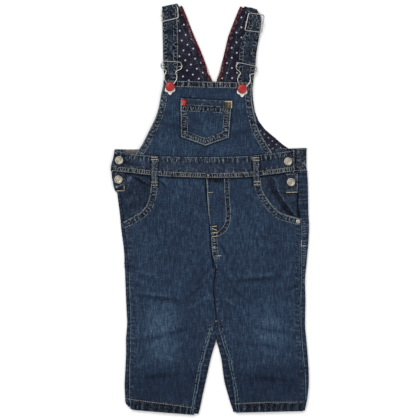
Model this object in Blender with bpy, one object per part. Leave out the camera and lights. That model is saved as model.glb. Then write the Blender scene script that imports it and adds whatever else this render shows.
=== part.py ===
"""Toddler's denim bib overalls, laid flat with the front side up.

The garment lies on the plane z = 0, its bib and straps towards +Y. X runs
across it, towards the wearer's left. Sizes and tables are in millimetres, and
each row of a table is one section across a piece. Each cloth piece is a wall
of its own thickness; where two lie on each other or meet at a seam, they are
0.3 mm apart.
"""

import math
from collections import namedtuple

import bmesh
import bpy
import numpy as np
from mathutils import Vector

MM = 0.001

# Cloth, in millimetres
DENIM = 1.2
LINING = 1.0
BAND = 2.0
PLACKET = 1.6
HEM = 2.0
GAP = 0.3

# Heights of the layers' undersides over the floor
LINING_LEVEL = DENIM + GAP
FRONT_LEVEL = 3.0
OVER_FACING = DENIM + GAP
BIB_LEVEL = 4.3
POCKET_LEVEL = BIB_LEVEL + DENIM + GAP
BADGE_LEVEL = POCKET_LEVEL + HEM + GAP
BAND_LEVEL = FRONT_LEVEL + OVER_FACING

# How the cloth is divided
ROW_STEP = 13.0
COLUMN_STEP = 13.0
LEG_COLUMNS = 9
FOLD_STEPS = 4

# Front legs: a soft loft between the seams, over the back
LEG_LOFT = 0.8
LOFT_STARTS = -5.0
LOFT_FULL = -60.0

# The facings' step in the front legs fades out below the hip pockets
FACING_STEP_FULL = -34.0
FACING_STEP_ENDS = -78.0
FLY_STEP_FULL = -82.0
FLY_STEP_ENDS = -110.0
FLY_WIDTH = 26.0

# Straps and their hardware
STRAP_FRONT_LEVEL = 4.7
WIRE = 1.8
BAR = 1.6
BAR_HEIGHT = LINING_LEVEL + LINING + GAP + BAR / 2
BAR_END_HEIGHT = 5.0
FRAME_HEIGHT = STRAP_FRONT_LEVEL + DENIM + GAP + WIRE / 2
CLIP_LOOP_HEIGHT = 9.0
BINDING_WIDTH = 5.2
BINDING = 1.0

# Buttons
SIDE_BUTTON_RADIUS = 6.0
SIDE_BUTTON_HEIGHT = 3.0
STRAP_CAP_RADIUS = 6.8
STRAP_SHANK_RADIUS = 3.0
BASE_RADIUS = 6.5
BASE_HEIGHT = 1.0
BASE_POINTS = 6
BASE_POINT_REACH = 3.6
BASE_LOWER_REACH = 0.9
BASE_DROP = 1.6
BASE_STEPS = 36
RIVET_RADIUS = 3.1
RIVET_HEIGHT = 1.4
ROUND_SIDES = 18

BackLegRow = namedtuple(
    "BackLegRow", "y_side x_side x_side_seam y_inner x_inner x_inner_seam folded"
)
PanelRow = namedtuple("PanelRow", "y_outer x_outer y_inner x_inner wall")
BandPoint = namedtuple("BandPoint", "x y_top y_bottom")
StrapRow = namedtuple("StrapRow", "y_outer x_outer y_inner x_inner level")
Fold = namedtuple("Fold", "x y angle length width height")

# Below the crotch the cloth folds up round the inner edge too.
BACK_LEG_RIGHT = (
    BackLegRow(-287.0, -121.1, -116.7, -294.6, -16.2, -22.5, 1),
    BackLegRow(-283.5, -122.8, -117.0, -290.7, -14.5, -21.5, 1),
    BackLegRow(-272.5, -123.2, -117.0, -284.9, -13.3, -20.3, 1),
    BackLegRow(-253.0, -124.0, -117.5, -258.8, -7.8, -15.9, 1),
    BackLegRow(-235.6, -123.2, -117.0, -238.5, -3.2, -12.3, 1),
    BackLegRow(-200.8, -121.8, -116.0, -200.8, 4.6, -4.1, 1),
    BackLegRow(-183.4, -121.8, -116.0, -183.4, 8.1, -0.1, 1),
    BackLegRow(-166.0, -120.3, -115.3, -166.0, 8.5, 4.9, 1),
    BackLegRow(-161.7, -120.3, -115.3, -161.7, 8.5, 6.2, 1),
    BackLegRow(-159.5, -120.4, -115.3, -159.5, 8.5, 8.5, 0),
    BackLegRow(-131.2, -121.8, -116.3, -131.2, 7.2, 7.2, 0),
    BackLegRow(-96.4, -123.2, -117.5, -96.4, 7.0, 7.0, 0),
    BackLegRow(-61.6, -124.7, -119.6, -61.6, 6.4, 6.4, 0),
    BackLegRow(-26.8, -129.0, -123.2, -26.8, 5.8, 5.8, 0),
    BackLegRow(-9.4, -130.5, -125.4, -9.4, 5.8, 5.8, 0),
    BackLegRow(8.0, -132.7, -127.6, 8.0, 5.8, 5.8, 0),
    BackLegRow(22.5, -134.8, -129.8, 22.5, 5.8, 5.8, 0),
    BackLegRow(28.3, -139.6, -131.2, 28.3, 5.8, 5.8, 0),
    BackLegRow(53.0, -140.2, -131.2, 52.2, 5.8, 5.8, 0),
)
BACK_LEG_LEFT = (
    BackLegRow(-289.6, 137.0, 131.2, -291.8, 33.4, 37.1, 1),
    BackLegRow(-273.3, 140.4, 131.7, -281.3, 29.3, 35.4, 1),
    BackLegRow(-258.8, 142.5, 131.9, -261.7, 23.6, 33.1, 1),
    BackLegRow(-244.3, 143.2, 131.9, -247.2, 19.7, 30.6, 1),
    BackLegRow(-218.2, 142.1, 131.4, -218.2, 15.9, 24.9, 1),
    BackLegRow(-200.8, 140.7, 130.5, -200.8, 13.0, 20.6, 1),
    BackLegRow(-183.4, 139.2, 129.9, -183.4, 9.6, 16.4, 1),
    BackLegRow(-166.0, 137.8, 129.8, -166.0, 8.8, 12.0, 1),
    BackLegRow(-161.7, 137.8, 129.8, -161.7, 8.8, 11.2, 1),
    BackLegRow(-159.5, 137.8, 129.8, -159.5, 8.8, 8.8, 0),
    BackLegRow(-131.2, 138.5, 129.8, -131.2, 7.5, 7.5, 0),
    BackLegRow(-105.1, 137.8, 130.5, -105.1, 7.3, 7.3, 0),
    BackLegRow(-70.3, 140.7, 131.1, -70.3, 6.7, 6.7, 0),
    BackLegRow(-35.5, 143.2, 131.5, -35.5, 6.1, 6.1, 0),
    BackLegRow(-13.5, 143.2, 131.2, -13.5, 6.1, 6.1, 0),
    BackLegRow(-3.6, 142.5, 126.9, -3.6, 6.1, 6.1, 0),
    BackLegRow(10.0, 142.1, 117.5, 10.0, 6.1, 6.1, 0),
    BackLegRow(34.1, 142.1, 117.5, 34.1, 6.1, 6.1, 0),
    BackLegRow(56.5, 140.4, 117.5, 52.2, 6.1, 6.1, 0),
)

# From the hem up to the waistband: the outer side follows the side seam and
# then the pocket's opening, the inner one the inseam, centre seam and fly.
FRONT_LEG_RIGHT = (
    PanelRow(-288.6, -116.3, -296.2, -22.9, HEM),
    PanelRow(-272.9, -116.7, -285.9, -20.7, HEM),
    PanelRow(-271.5, -116.7, -284.5, -20.7, DENIM),
    PanelRow(-253.0, -117.2, -258.8, -16.2, DENIM),
    PanelRow(-235.6, -116.7, -238.5, -12.6, DENIM),
    PanelRow(-200.8, -115.7, -200.8, -4.4, DENIM),
    PanelRow(-183.4, -115.7, -183.4, -0.4, DENIM),
    PanelRow(-166.0, -115.0, -166.0, 4.6, DENIM),
    PanelRow(-161.7, -115.0, -161.7, 6.4, DENIM),
    PanelRow(-159.5, -115.0, -159.5, 8.5, DENIM),
    PanelRow(-141.4, -115.6, -141.4, 7.0, DENIM),
    PanelRow(-111.8, -116.8, -111.8, 4.6, DENIM),
    PanelRow(-83.0, -118.2, -83.0, 8.3, DENIM),
    PanelRow(-58.7, -119.5, -58.7, 8.0, DENIM),
    PanelRow(-36.0, -121.9, -36.0, 6.7, DENIM),
    PanelRow(-17.5, -124.0, -19.0, 5.2, DENIM),
    PanelRow(-11.6, -113.5, -9.0, 4.3, DENIM),
    PanelRow(-4.6, -100.8, -0.7, 3.3, DENIM),
    PanelRow(4.0, -92.8, 8.0, 2.6, DENIM),
    PanelRow(13.0, -88.8, 16.0, 2.0, DENIM),
    PanelRow(24.0, -86.2, 26.0, 1.4, DENIM),
    PanelRow(34.0, -85.2, 35.0, 1.0, DENIM),
    PanelRow(48.4, -84.7, 44.7, 0.6, DENIM),
)
FRONT_LEG_LEFT = (
    PanelRow(-290.7, 130.9, -292.9, 37.4, HEM),
    PanelRow(-278.5, 131.2, -280.3, 35.5, HEM),
    PanelRow(-277.1, 131.2, -278.9, 35.5, DENIM),
    PanelRow(-258.8, 131.6, -261.7, 33.4, DENIM),
    PanelRow(-244.3, 131.6, -247.2, 30.9, DENIM),
    PanelRow(-218.2, 131.1, -218.2, 25.2, DENIM),
    PanelRow(-200.8, 130.2, -200.8, 20.9, DENIM),
    PanelRow(-183.4, 129.6, -183.4, 16.7, DENIM),
    PanelRow(-166.0, 129.5, -166.0, 12.3, DENIM),
    PanelRow(-161.7, 129.5, -161.7, 11.5, DENIM),
    PanelRow(-159.5, 129.5, -159.5, 8.8, DENIM),
    PanelRow(-141.4, 129.5, -141.4, 7.3, DENIM),
    PanelRow(-111.8, 130.0, -111.8, 4.9, DENIM),
    PanelRow(-83.0, 130.6, -83.0, 8.7, DENIM),
    PanelRow(-65.1, 130.9, -65.1, 2.9, DENIM),
    PanelRow(-34.1, 131.2, -34.1, 0.9, DENIM),
    PanelRow(-13.4, 130.9, -17.0, -1.0, DENIM),
    PanelRow(-10.4, 120.5, -8.0, -2.0, DENIM),
    PanelRow(-4.6, 101.2, -0.7, -2.5, DENIM),
    PanelRow(5.8, 89.9, 8.0, -3.2, DENIM),
    PanelRow(17.5, 81.2, 18.0, -3.8, DENIM),
    PanelRow(33.2, 73.8, 32.0, -4.4, DENIM),
    PanelRow(47.6, 72.8, 44.5, -5.2, DENIM),
)

# The front's centre seam from the crotch up to the fly, as (y, x)
CENTRE_SEAM = ((-160.5, 8.65), (-141.4, 7.15), (-111.8, 4.75), (-83.0, 8.5))

# The facings reach under the front legs past the pockets' openings.
FACING_RIGHT = (
    PanelRow(-25.4, -122.9, -23.9, -104.4, DENIM),
    PanelRow(-9.4, -124.9, -11.0, -91.3, DENIM),
    PanelRow(8.0, -127.2, 5.0, -80.5, DENIM),
    PanelRow(22.5, -129.4, 22.5, -75.6, DENIM),
    PanelRow(28.3, -130.8, 33.0, -74.7, DENIM),
    PanelRow(53.0, -130.8, 48.0, -75.4, DENIM),
)
FACING_LEFT = (
    PanelRow(-23.0, 131.0, -23.9, 112.8, DENIM),
    PanelRow(-13.5, 130.8, -12.3, 92.8, DENIM),
    PanelRow(-3.6, 126.5, -0.7, 79.8, DENIM),
    PanelRow(10.0, 117.0, 13.8, 68.1, DENIM),
    PanelRow(34.1, 117.1, 34.1, 62.4, DENIM),
    PanelRow(53.0, 117.1, 47.0, 62.4, DENIM),
)
PLACKET_RIGHT = (
    PanelRow(25.6, -140.0, 25.9, -122.5, PLACKET),
    PanelRow(34.1, -141.4, 34.1, -122.5, PLACKET),
    PanelRow(54.2, -142.2, 52.9, -122.5, PLACKET),
)
PLACKET_LEFT = (
    PanelRow(23.9, 126.9, 23.9, 109.5, PLACKET),
    PanelRow(38.0, 126.9, 38.0, 109.5, PLACKET),
    PanelRow(54.3, 126.9, 52.6, 109.5, PLACKET),
)

FRONT_BAND = (
    BandPoint(-143.2, 84.4, 55.1),
    BandPoint(-137.0, 85.2, 54.5),
    BandPoint(-123.2, 81.9, 53.3),
    BandPoint(-87.0, 78.3, 49.0),
    BandPoint(-43.5, 76.4, 46.3),
    BandPoint(7.2, 76.1, 45.0),
    BandPoint(50.8, 77.4, 46.0),
    BandPoint(87.0, 81.2, 50.0),
    BandPoint(108.8, 84.1, 52.9),
    BandPoint(121.8, 85.4, 54.7),
)
BACK_BAND = (
    BandPoint(-140.9, 86.8, 53.4),
    BandPoint(-87.0, 86.6, 53.0),
    BandPoint(5.8, 85.5, 52.5),
    BandPoint(87.0, 87.0, 54.4),
    BandPoint(139.9, 88.7, 57.2),
)
BACK_BAND_UNDERLAP_RIGHT = -122.0
BACK_BAND_UNDERLAP_LEFT = 111.0

# Rows run from the bib's hem down to the waistband.
FRONT_BIB = (
    PanelRow(185.2, -66.7, 182.0, 60.9, HEM),
    PanelRow(177.2, -68.1, 173.4, 60.0, HEM),
    PanelRow(175.8, -68.3, 172.0, 60.0, DENIM),
    PanelRow(164.6, -71.0, 162.0, 60.1, DENIM),
    PanelRow(147.2, -74.0, 147.2, 62.0, DENIM),
    PanelRow(129.8, -79.8, 132.7, 65.2, DENIM),
    PanelRow(112.4, -88.5, 120.2, 68.1, DENIM),
    PanelRow(95.0, -97.1, 101.4, 77.3, DENIM),
    PanelRow(80.5, -106.9, 82.0, 89.6, DENIM),
)
BIB_SIDE_HEM = 9.5
HEM_STEP = 1.4
BACK_BIB = (
    PanelRow(178.3, -63.8, 178.3, 60.9, DENIM),
    PanelRow(158.8, -65.2, 158.8, 61.6, DENIM),
    PanelRow(139.9, -69.6, 139.1, 63.5, DENIM),
    PanelRow(122.5, -78.3, 116.0, 76.6, DENIM),
    PanelRow(109.5, -85.5, 102.2, 95.0, DENIM),
    PanelRow(90.0, -97.5, 91.0, 113.0, DENIM),
)

BIB_POCKET_TOP = ((-42.3, 160.2), (31.2, 156.3))
BIB_POCKET_BOTTOM = ((-41.8, 104.7), (-6.5, 92.1), (27.3, 103.7))
BIB_POCKET_HEM = 0.17
TAG = ((-42.0, 159.4), (-33.4, 150.1))
LABEL = ((21.2, 156.4), (31.9, 145.7))

LoopRow = namedtuple("LoopRow", "share level")
LOOP_ROWS = (
    LoopRow(0.0, 6.0),
    LoopRow(0.17, 6.2),
    LoopRow(0.3, 6.7),
    LoopRow(0.55, 7.2),
    LoopRow(0.85, 7.0),
    LoopRow(1.0, 6.8),
)
LOOP_RIGHT = ((-84.8, -75.4, 32.6), (-84.8, -75.4, 77.6))
LOOP_LEFT = ((63.4, 71.8, 33.4), (60.9, 71.0, 76.8))

# Each strap: its run on the floor up to the shoulder, then from the shoulder
# fold down through the slider and the clip to its end behind the bib.
STRAP_RIGHT_BACK = (
    StrapRow(179.1, -66.0, 179.1, 0.1, 0.0),
    StrapRow(216.8, -66.0, 217.2, -10.1, 0.0),
    StrapRow(251.6, -66.4, 251.6, -24.8, 0.0),
    StrapRow(276.0, -68.2, 276.0, -35.6, 0.0),
)
STRAP_RIGHT_FOLD = ((-69.2, 291.4), (-47.4, 296.0))
STRAP_RIGHT_FRONT = (
    StrapRow(285.5, -68.3, 289.0, -48.4, 4.7),
    StrapRow(278.4, -68.0, 281.5, -48.6, 4.7),
    StrapRow(270.4, -68.7, 273.0, -47.0, 4.5),
    StrapRow(261.0, -68.6, 262.0, -46.2, 3.6),
    StrapRow(251.6, -68.4, 251.6, -45.8, 3.0),
    StrapRow(238.5, -68.1, 238.5, -45.8, 3.3),
    StrapRow(226.0, -67.9, 226.0, -45.9, 3.1),
    StrapRow(216.8, -67.7, 216.0, -46.1, 4.2),
    StrapRow(210.2, -67.2, 209.0, -46.3, 4.7),
    StrapRow(204.8, -66.9, 203.6, -46.5, 4.7),
    StrapRow(198.0, -66.5, 197.4, -46.8, 3.6),
    StrapRow(191.5, -66.2, 191.5, -47.1, 2.9),
    StrapRow(184.0, -66.0, 184.0, -47.4, 2.8),
    StrapRow(170.0, -65.6, 170.0, -47.9, 2.8),
)
STRAP_LEFT_BACK = (
    StrapRow(179.1, 61.6, 179.1, 11.2, 0.0),
    StrapRow(216.8, 64.5, 217.2, 20.1, 0.0),
    StrapRow(250.6, 66.7, 250.6, 28.0, 0.0),
    StrapRow(271.0, 69.6, 271.0, 36.3, 0.0),
)
STRAP_LEFT_FOLD = ((71.5, 292.6), (50.4, 293.4))
STRAP_LEFT_FRONT = (
    StrapRow(283.0, 73.0, 284.0, 52.6, 4.7),
    StrapRow(274.8, 74.2, 276.0, 55.7, 4.7),
    StrapRow(265.0, 73.4, 266.8, 55.2, 4.7),
    StrapRow(257.0, 72.2, 256.2, 51.0, 4.6),
    StrapRow(247.0, 70.7, 246.0, 45.4, 3.4),
    StrapRow(236.0, 68.6, 236.0, 43.4, 3.0),
    StrapRow(226.0, 66.9, 226.0, 41.6, 3.1),
    StrapRow(212.0, 65.8, 216.5, 41.2, 4.2),
    StrapRow(203.6, 64.9, 208.4, 41.1, 4.7),
    StrapRow(197.4, 64.2, 202.2, 40.6, 4.7),
    StrapRow(191.0, 63.2, 195.0, 39.4, 3.5),
    StrapRow(184.0, 62.4, 186.0, 38.5, 2.8),
    StrapRow(168.5, 60.6, 168.5, 37.6, 2.8),
)
NECK_EDGE_RIGHT = (
    (-40.6, 289.0),
    (-33.4, 274.8),
    (-23.5, 251.6),
    (-8.8, 217.2),
    (1.4, 179.4),
)
NECK_EDGE_LEFT = (
    (43.8, 288.0),
    (34.8, 270.4),
    (26.7, 250.6),
    (18.8, 217.2),
    (9.9, 179.4),
)

# Half of a clip's wire from the middle of its top bar down to the button.
ClipPoint = namedtuple("ClipPoint", "along across height")
CLIP_HALF = (
    ClipPoint(36.2, 0.0, FRAME_HEIGHT),
    ClipPoint(36.2, 10.6, FRAME_HEIGHT),
    ClipPoint(34.6, 13.6, FRAME_HEIGHT),
    ClipPoint(30.3, 15.1, FRAME_HEIGHT),
    ClipPoint(26.2, 13.4, FRAME_HEIGHT),
    ClipPoint(24.0, 9.0, 7.4),
    ClipPoint(21.6, 7.0, 7.7),
    ClipPoint(18.6, 8.0, 8.1),
    ClipPoint(15.2, 9.0, 8.5),
    ClipPoint(11.0, 8.8, CLIP_LOOP_HEIGHT),
    ClipPoint(7.2, 6.6, CLIP_LOOP_HEIGHT),
    ClipPoint(3.4, 4.8, CLIP_LOOP_HEIGHT),
    ClipPoint(-0.6, 4.3, CLIP_LOOP_HEIGHT),
    ClipPoint(-3.4, 2.8, CLIP_LOOP_HEIGHT),
    ClipPoint(-4.4, 0.0, CLIP_LOOP_HEIGHT),
)
CLIP_BAR_ALONG = 30.0
CLIP_BAR_REACH = 14.4
CLIP_STRAP_HALF_WIDTH = 12.6
STRAP_BUTTON_RIGHT = (-57.6, 176.9)
STRAP_BUTTON_LEFT = (46.3, 173.6)
CLIP_TILT_RIGHT = -3.9
CLIP_TILT_LEFT = -11.8

SLIDER_RIGHT = ((-70.8, 290.4), (-46.2, 295.7), (-45.6, 276.2), (-69.8, 270.4))
SLIDER_LEFT = ((56.0, 283.2), (78.0, 280.0), (74.6, 255.2), (50.2, 258.2))
SLIDER_CORNER = 2.6
SLIDER_BAR_RISE = 1.5

SIDE_BUTTONS = (
    ("side_button_right_upper", -130.8, 70.9, BAND_LEVEL + BAND + GAP),
    ("side_button_right_lower", -131.8, 43.2, BAND_LEVEL + PLACKET + GAP),
    ("side_button_left_upper", 112.4, 69.3, BAND_LEVEL + BAND + GAP),
    ("side_button_left_lower", 116.6, 39.4, BAND_LEVEL + PLACKET + GAP),
)
RIVET_PLACE = (126.8, -17.2, BAND_LEVEL + DENIM + GAP)

# The largest folds of the front: ridges above 0, troughs below it.
FOLDS = (
    Fold(-104.0, -88.0, -18.0, 26.0, 7.0, 0.7),
    Fold(-78.0, -128.0, -6.0, 34.0, 9.0, -0.6),
    Fold(-62.0, -168.0, 12.0, 30.0, 16.0, 0.6),
    Fold(-74.0, -240.0, 4.0, 32.0, 12.0, -0.5),
    Fold(-22.0, -120.0, 38.0, 26.0, 8.0, 0.7),
    Fold(-18.0, -186.0, 62.0, 30.0, 8.0, 0.6),
    Fold(42.0, -122.0, -40.0, 28.0, 8.0, 0.7),
    Fold(44.0, -186.0, -58.0, 30.0, 9.0, 0.6),
    Fold(70.0, -100.0, 6.0, 34.0, 8.0, -0.5),
    Fold(92.0, -168.0, -10.0, 32.0, 16.0, 0.6),
    Fold(112.0, -112.0, 24.0, 24.0, 7.0, 0.7),
    Fold(84.0, -244.0, -4.0, 34.0, 12.0, -0.5),
)

# Colours of the finishes, linear red, green and blue
DENIM_BLUE = (0.024, 0.045, 0.105)
WAIST_BLUE = (0.030, 0.056, 0.120)
LINING_NAVY = (0.010, 0.012, 0.032)
BINDING_RED = (0.18, 0.008, 0.022)
CAP_RED = (0.50, 0.012, 0.020)
BASE_WHITE = (0.80, 0.78, 0.74)
WIRE_SILVER = (0.62, 0.61, 0.58)
BUTTON_SILVER = (0.66, 0.64, 0.58)
LABEL_CREAM = (0.42, 0.40, 0.27)


def clear_scene():
    for old in list(bpy.data.objects):
        bpy.data.objects.remove(old)


def finish(name, colour, roughness, metallic=0.0):
    """The Principled material of that name, made the first time it is asked for."""
    material = bpy.data.materials.get(name)
    if material is None:
        material = bpy.data.materials.new(name)
        material.use_nodes = True
        shader = material.node_tree.nodes["Principled BSDF"]
        shader.inputs["Base Color"].default_value = (*colour, 1.0)
        shader.inputs["Roughness"].default_value = roughness
        shader.inputs["Metallic"].default_value = metallic
        material.diffuse_color = (*colour, 1.0)
    return material


def denim():
    return finish("denim", DENIM_BLUE, 0.85)


def waist_denim():
    return finish("waist_denim", WAIST_BLUE, 0.85)


def lining():
    return finish("lining", LINING_NAVY, 0.8)


def silver_wire():
    return finish("silver_wire", WIRE_SILVER, 0.3, 1.0)


def silver_button():
    return finish("silver_button", BUTTON_SILVER, 0.38, 1.0)


def ramp(value, start, end):
    """0 at start, 1 at end, with level tangents at both."""
    share = min(max((value - start) / (end - start), 0.0), 1.0)
    return share * share * (3.0 - 2.0 * share)


def monotone_slopes(spacing, steps):
    """Slopes of a curve that doesn't swing past the values it runs through."""
    rates = steps / spacing[:, None]
    slopes = np.zeros((len(rates) + 1, rates.shape[1]))
    slopes[0], slopes[-1] = rates[0], rates[-1]
    before, after = rates[:-1], rates[1:]
    same_way = before * after > 0.0
    total = np.where(same_way, before + after, 1.0)
    slopes[1:-1] = np.where(same_way, 2.0 * before * after / total, 0.0)
    return slopes


def smooth_rows(table, step):
    """The table's rows and more between them, at most about a step apart."""
    values = np.array(table, float)
    steps = np.diff(values, axis=0)
    spacing = np.linalg.norm(steps, axis=1)
    slopes = monotone_slopes(spacing, steps)
    rows = []
    for index, length in enumerate(spacing):
        parts = max(1, round(length / step))
        for part in range(parts):
            t = part / parts
            rise = t * t * (3.0 - 2.0 * t)
            row = values[index] + steps[index] * rise
            row = row + length * slopes[index] * (t - 2.0 * t * t + t**3)
            row = row + length * slopes[index + 1] * (t**3 - t * t)
            rows.append(row)
    rows.append(values[-1])
    return rows


def refined(table, step):
    """The same, as rows of the table's own kind."""
    return [type(table[0])(*row) for row in smooth_rows(table, step)]


def leg_edges(table, y):
    """Where a leg's two edges are at this y."""
    heights = [row.y_side for row in table]
    side = np.interp(y, heights, [row.x_side for row in table])
    inner = np.interp(y, heights, [row.x_inner for row in table])
    return side, inner


def front_level(x, y):
    """Underside of the front's lowest layer: its loft over each leg, and its folds."""
    level = FRONT_LEVEL
    for table in (BACK_LEG_RIGHT, BACK_LEG_LEFT):
        side, inner = leg_edges(table, y)
        share = (x - side) / (inner - side)
        if 0.0 < share < 1.0:
            loft = LEG_LOFT * math.sin(math.pi * share)
            level += loft * ramp(y, LOFT_STARTS, LOFT_FULL)
    for fold in FOLDS:
        turn = math.radians(fold.angle)
        dx, dy = x - fold.x, y - fold.y
        along = (dx * math.cos(turn) + dy * math.sin(turn)) / fold.length
        across = (dy * math.cos(turn) - dx * math.sin(turn)) / fold.width
        level += fold.height * math.exp(-along * along - across * across)
    return level


def over_facing_level(x, y):
    """Underside of a front leg, which lies on the pocket facing at the hip."""
    step = OVER_FACING * ramp(y, FACING_STEP_ENDS, FACING_STEP_FULL)
    return front_level(x, y) + step


def over_fly_level(x, y):
    """Underside of the left front leg, which also laps over the right one."""
    fly_edge = FRONT_LEG_LEFT[-1].x_inner
    near = 1.0 - ramp(x, fly_edge + FLY_WIDTH / 2, fly_edge + FLY_WIDTH * 1.5)
    above = ramp(y, FLY_STEP_ENDS, FLY_STEP_FULL)
    return over_facing_level(x, y) + OVER_FACING * near * above


def level_at(height):
    """A flat underside at that height."""
    return lambda x, y: height


def add_object(name, bm, material, smooth=True):
    bmesh.ops.recalc_face_normals(bm, faces=bm.faces)
    mesh = bpy.data.meshes.new(name)
    bm.to_mesh(mesh)
    bm.free()
    if smooth:
        mesh.shade_smooth()
        mesh.set_sharp_from_angle(angle=math.radians(40.0))
    piece = bpy.data.objects.new(name, mesh)
    piece.data.materials.append(material)
    bpy.context.scene.collection.objects.link(piece)
    return piece


def shell(name, outer, inner, material):
    """A wall between two grids of points. A grid has None where there is no cloth."""
    bm = bmesh.new()
    sides = []
    for grid in (outer, inner):
        made = []
        for row in grid:
            points = [p if p is None else bm.verts.new(Vector(p) * MM) for p in row]
            made.append(points)
        sides.append(made)
    partner = {}
    for outer_row, inner_row in zip(*sides):
        partner.update(zip(outer_row, inner_row))
    for row, points in enumerate(sides[0][:-1]):
        for column in range(len(points) - 1):
            corners = [
                points[column],
                points[column + 1],
                sides[0][row + 1][column + 1],
                sides[0][row + 1][column],
            ]
            if None not in corners:
                bm.faces.new(corners)
                bm.faces.new([partner[corner] for corner in reversed(corners)])
    rim = [edge for edge in bm.edges if edge.is_boundary and edge.verts[0] in partner]
    for edge in rim:
        start = edge.link_loops[0].vert
        end = edge.other_vert(start)
        bm.faces.new((end, start, partner[start], partner[end]))
    return add_object(name, bm, material)


def plate(name, rows, columns, underside, material, wall_at=None, trim=None):
    """A panel whose rows run from its outer to its inner side.

    trim keeps a point clear of the edges that the panel is sewn to.
    """
    top, bottom = [], []
    for row in rows:
        upper, lower = [], []
        for share in columns:
            x = row.x_outer + (row.x_inner - row.x_outer) * share
            y = row.y_outer + (row.y_inner - row.y_outer) * share
            x, y = trim(x, y) if trim else (x, y)
            wall = wall_at(share, row) if wall_at else row.wall
            level = underside(x, y)
            lower.append((x, y, level))
            upper.append((x, y, level + wall))
        top.append(upper)
        bottom.append(lower)
    return shell(name, top, bottom, material)


def even_columns(count):
    return [index / count for index in range(count + 1)]


def band_edge(table, column):
    """A band's top or bottom edge, as y for any x."""
    rows = smooth_rows(table, COLUMN_STEP)
    xs = [row[0] for row in rows]
    ys = [row[column] for row in rows]
    return lambda x: float(np.interp(x, xs, ys))


def below_band(table):
    """Trims a panel that is sewn to a band's bottom edge."""
    bottom = band_edge(table, 2)
    return lambda x, y: (x, min(y, bottom(x) - GAP))


def above_band(table):
    """Trims a panel that is sewn to a band's top edge."""
    top = band_edge(table, 1)
    return lambda x, y: (x, max(y, top(x) + GAP))


def row_height(row, x):
    """A back leg's row is a straight line between its two edges."""
    slope = (row.y_inner - row.y_side) / (row.x_inner - row.x_side)
    return row.y_side + slope * (x - row.x_side)


def inside_seams(table, outward):
    """Trims a front panel to a back leg's seams, the centre seam and the waistband."""
    rows = refined(table, ROW_STEP)
    side_y = [row_height(row, row.x_side_seam) for row in rows]
    side_x = [row.x_side_seam * outward for row in rows]
    folded = [row for row in rows if row.folded > 0.99]
    inner_y = [row_height(row, row.x_inner_seam) for row in folded]
    inner_x = [row.x_inner_seam * outward for row in folded]
    centre_y, centre_x = zip(*CENTRE_SEAM)
    bottom = band_edge(FRONT_BAND, 2)

    def trim(x, y):
        y = min(y, bottom(x) - GAP)
        reach = min(x * outward, float(np.interp(y, side_y, side_x)) - GAP)
        if y <= inner_y[-1]:
            reach = max(reach, float(np.interp(y, inner_y, inner_x)) + GAP)
        elif centre_y[0] <= y <= centre_y[-1]:
            seam = float(np.interp(y, centre_y, centre_x)) * outward
            reach = max(reach, seam + GAP / 2)
        return reach * outward, y

    return trim


def wrap(x_edge, outward, x_lip, y, wall):
    """Mid-line of cloth from its lip, out to the edge and down to the floor.

    Each entry is (x, z, normal x, normal z).
    """
    radius = front_level(x_edge, y) / 2
    x_centre = x_edge - outward * (radius + wall / 2)
    z_centre = wall / 2 + radius
    line = [(x_lip, front_level(x_lip, y) + wall / 2, 0.0, 1.0)]
    for step in range(FOLD_STEPS + 1):
        turn = math.pi * (1.0 - step / FOLD_STEPS)
        x = x_centre + outward * radius * math.sin(turn)
        z = z_centre - radius * math.cos(turn)
        line.append((x, z, outward * math.sin(turn), -math.cos(turn)))
    return line


def wrapped_row(line, y_at, wall):
    """Outer and inner points of one row of cloth along its mid-line."""
    outer, inner = [], []
    for entry in line:
        if entry is None:
            outer.append(None)
            inner.append(None)
            continue
        x, z, normal_x, normal_z = entry
        shift_x, shift_z = normal_x * wall / 2, normal_z * wall / 2
        outer.append((x + shift_x, y_at(x), max(z + shift_z, 0.0)))
        inner.append((x - shift_x, y_at(x), z - shift_z))
    return outer, inner


def floor_line(x_start, x_end, parts, wall):
    """Mid-line points on the floor strictly between the two ends."""
    return [
        (x_start + (x_end - x_start) * part / parts, wall / 2, 0.0, -1.0)
        for part in range(1, parts)
    ]


def back_leg(name, table, outward):
    """A back leg: flat on the floor, and up round its edges to the front's seams."""
    outer, inner = [], []
    trim = below_band(BACK_BAND)
    for row in refined(table, ROW_STEP):
        folded = row.folded > 0.99
        side = wrap(row.x_side, outward, row.x_side_seam, row.y_side, DENIM)
        if folded:
            x, x_seam = row.x_inner, row.x_inner_seam
            inseam = wrap(x, -outward, x_seam, row.y_inner, DENIM)[::-1]
        else:
            inseam = [(row.x_inner, DENIM / 2, 0.0, -1.0)] + [None] * len(side[1:])
        flat = floor_line(side[-1][0], inseam[0][0], 4, DENIM)
        y_at = lambda x, row=row: trim(x, row_height(row, x))[1]
        points = wrapped_row(side + flat + inseam, y_at, DENIM)
        outer.append(points[0])
        inner.append(points[1])
    return shell(name, outer, inner, denim())


def back_waistband():
    top, bottom = band_edge(BACK_BAND, 1), band_edge(BACK_BAND, 2)
    left_edge, right_edge = BACK_BAND[0].x, BACK_BAND[-1].x
    outer, inner = [], []
    for share in even_columns(2):
        y_at = lambda x, share=share: bottom(x) + (top(x) - bottom(x)) * share
        start = wrap(left_edge, -1.0, BACK_BAND_UNDERLAP_RIGHT, y_at(left_edge), DENIM)
        end = wrap(right_edge, 1.0, BACK_BAND_UNDERLAP_LEFT, y_at(right_edge), DENIM)
        flat = floor_line(start[-1][0], end[-1][0], 10, DENIM)
        points = wrapped_row(start + flat + end[::-1], y_at, DENIM)
        outer.append(points[0])
        inner.append(points[1])
    return shell("back_waistband", outer, inner, waist_denim())


def front_waistband():
    rows = [
        PanelRow(row.y_top, row.x, row.y_bottom, row.x, BAND)
        for row in refined(FRONT_BAND, COLUMN_STEP)
    ]
    level = level_at(BAND_LEVEL)
    return plate("front_waistband", rows, even_columns(3), level, waist_denim())


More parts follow.
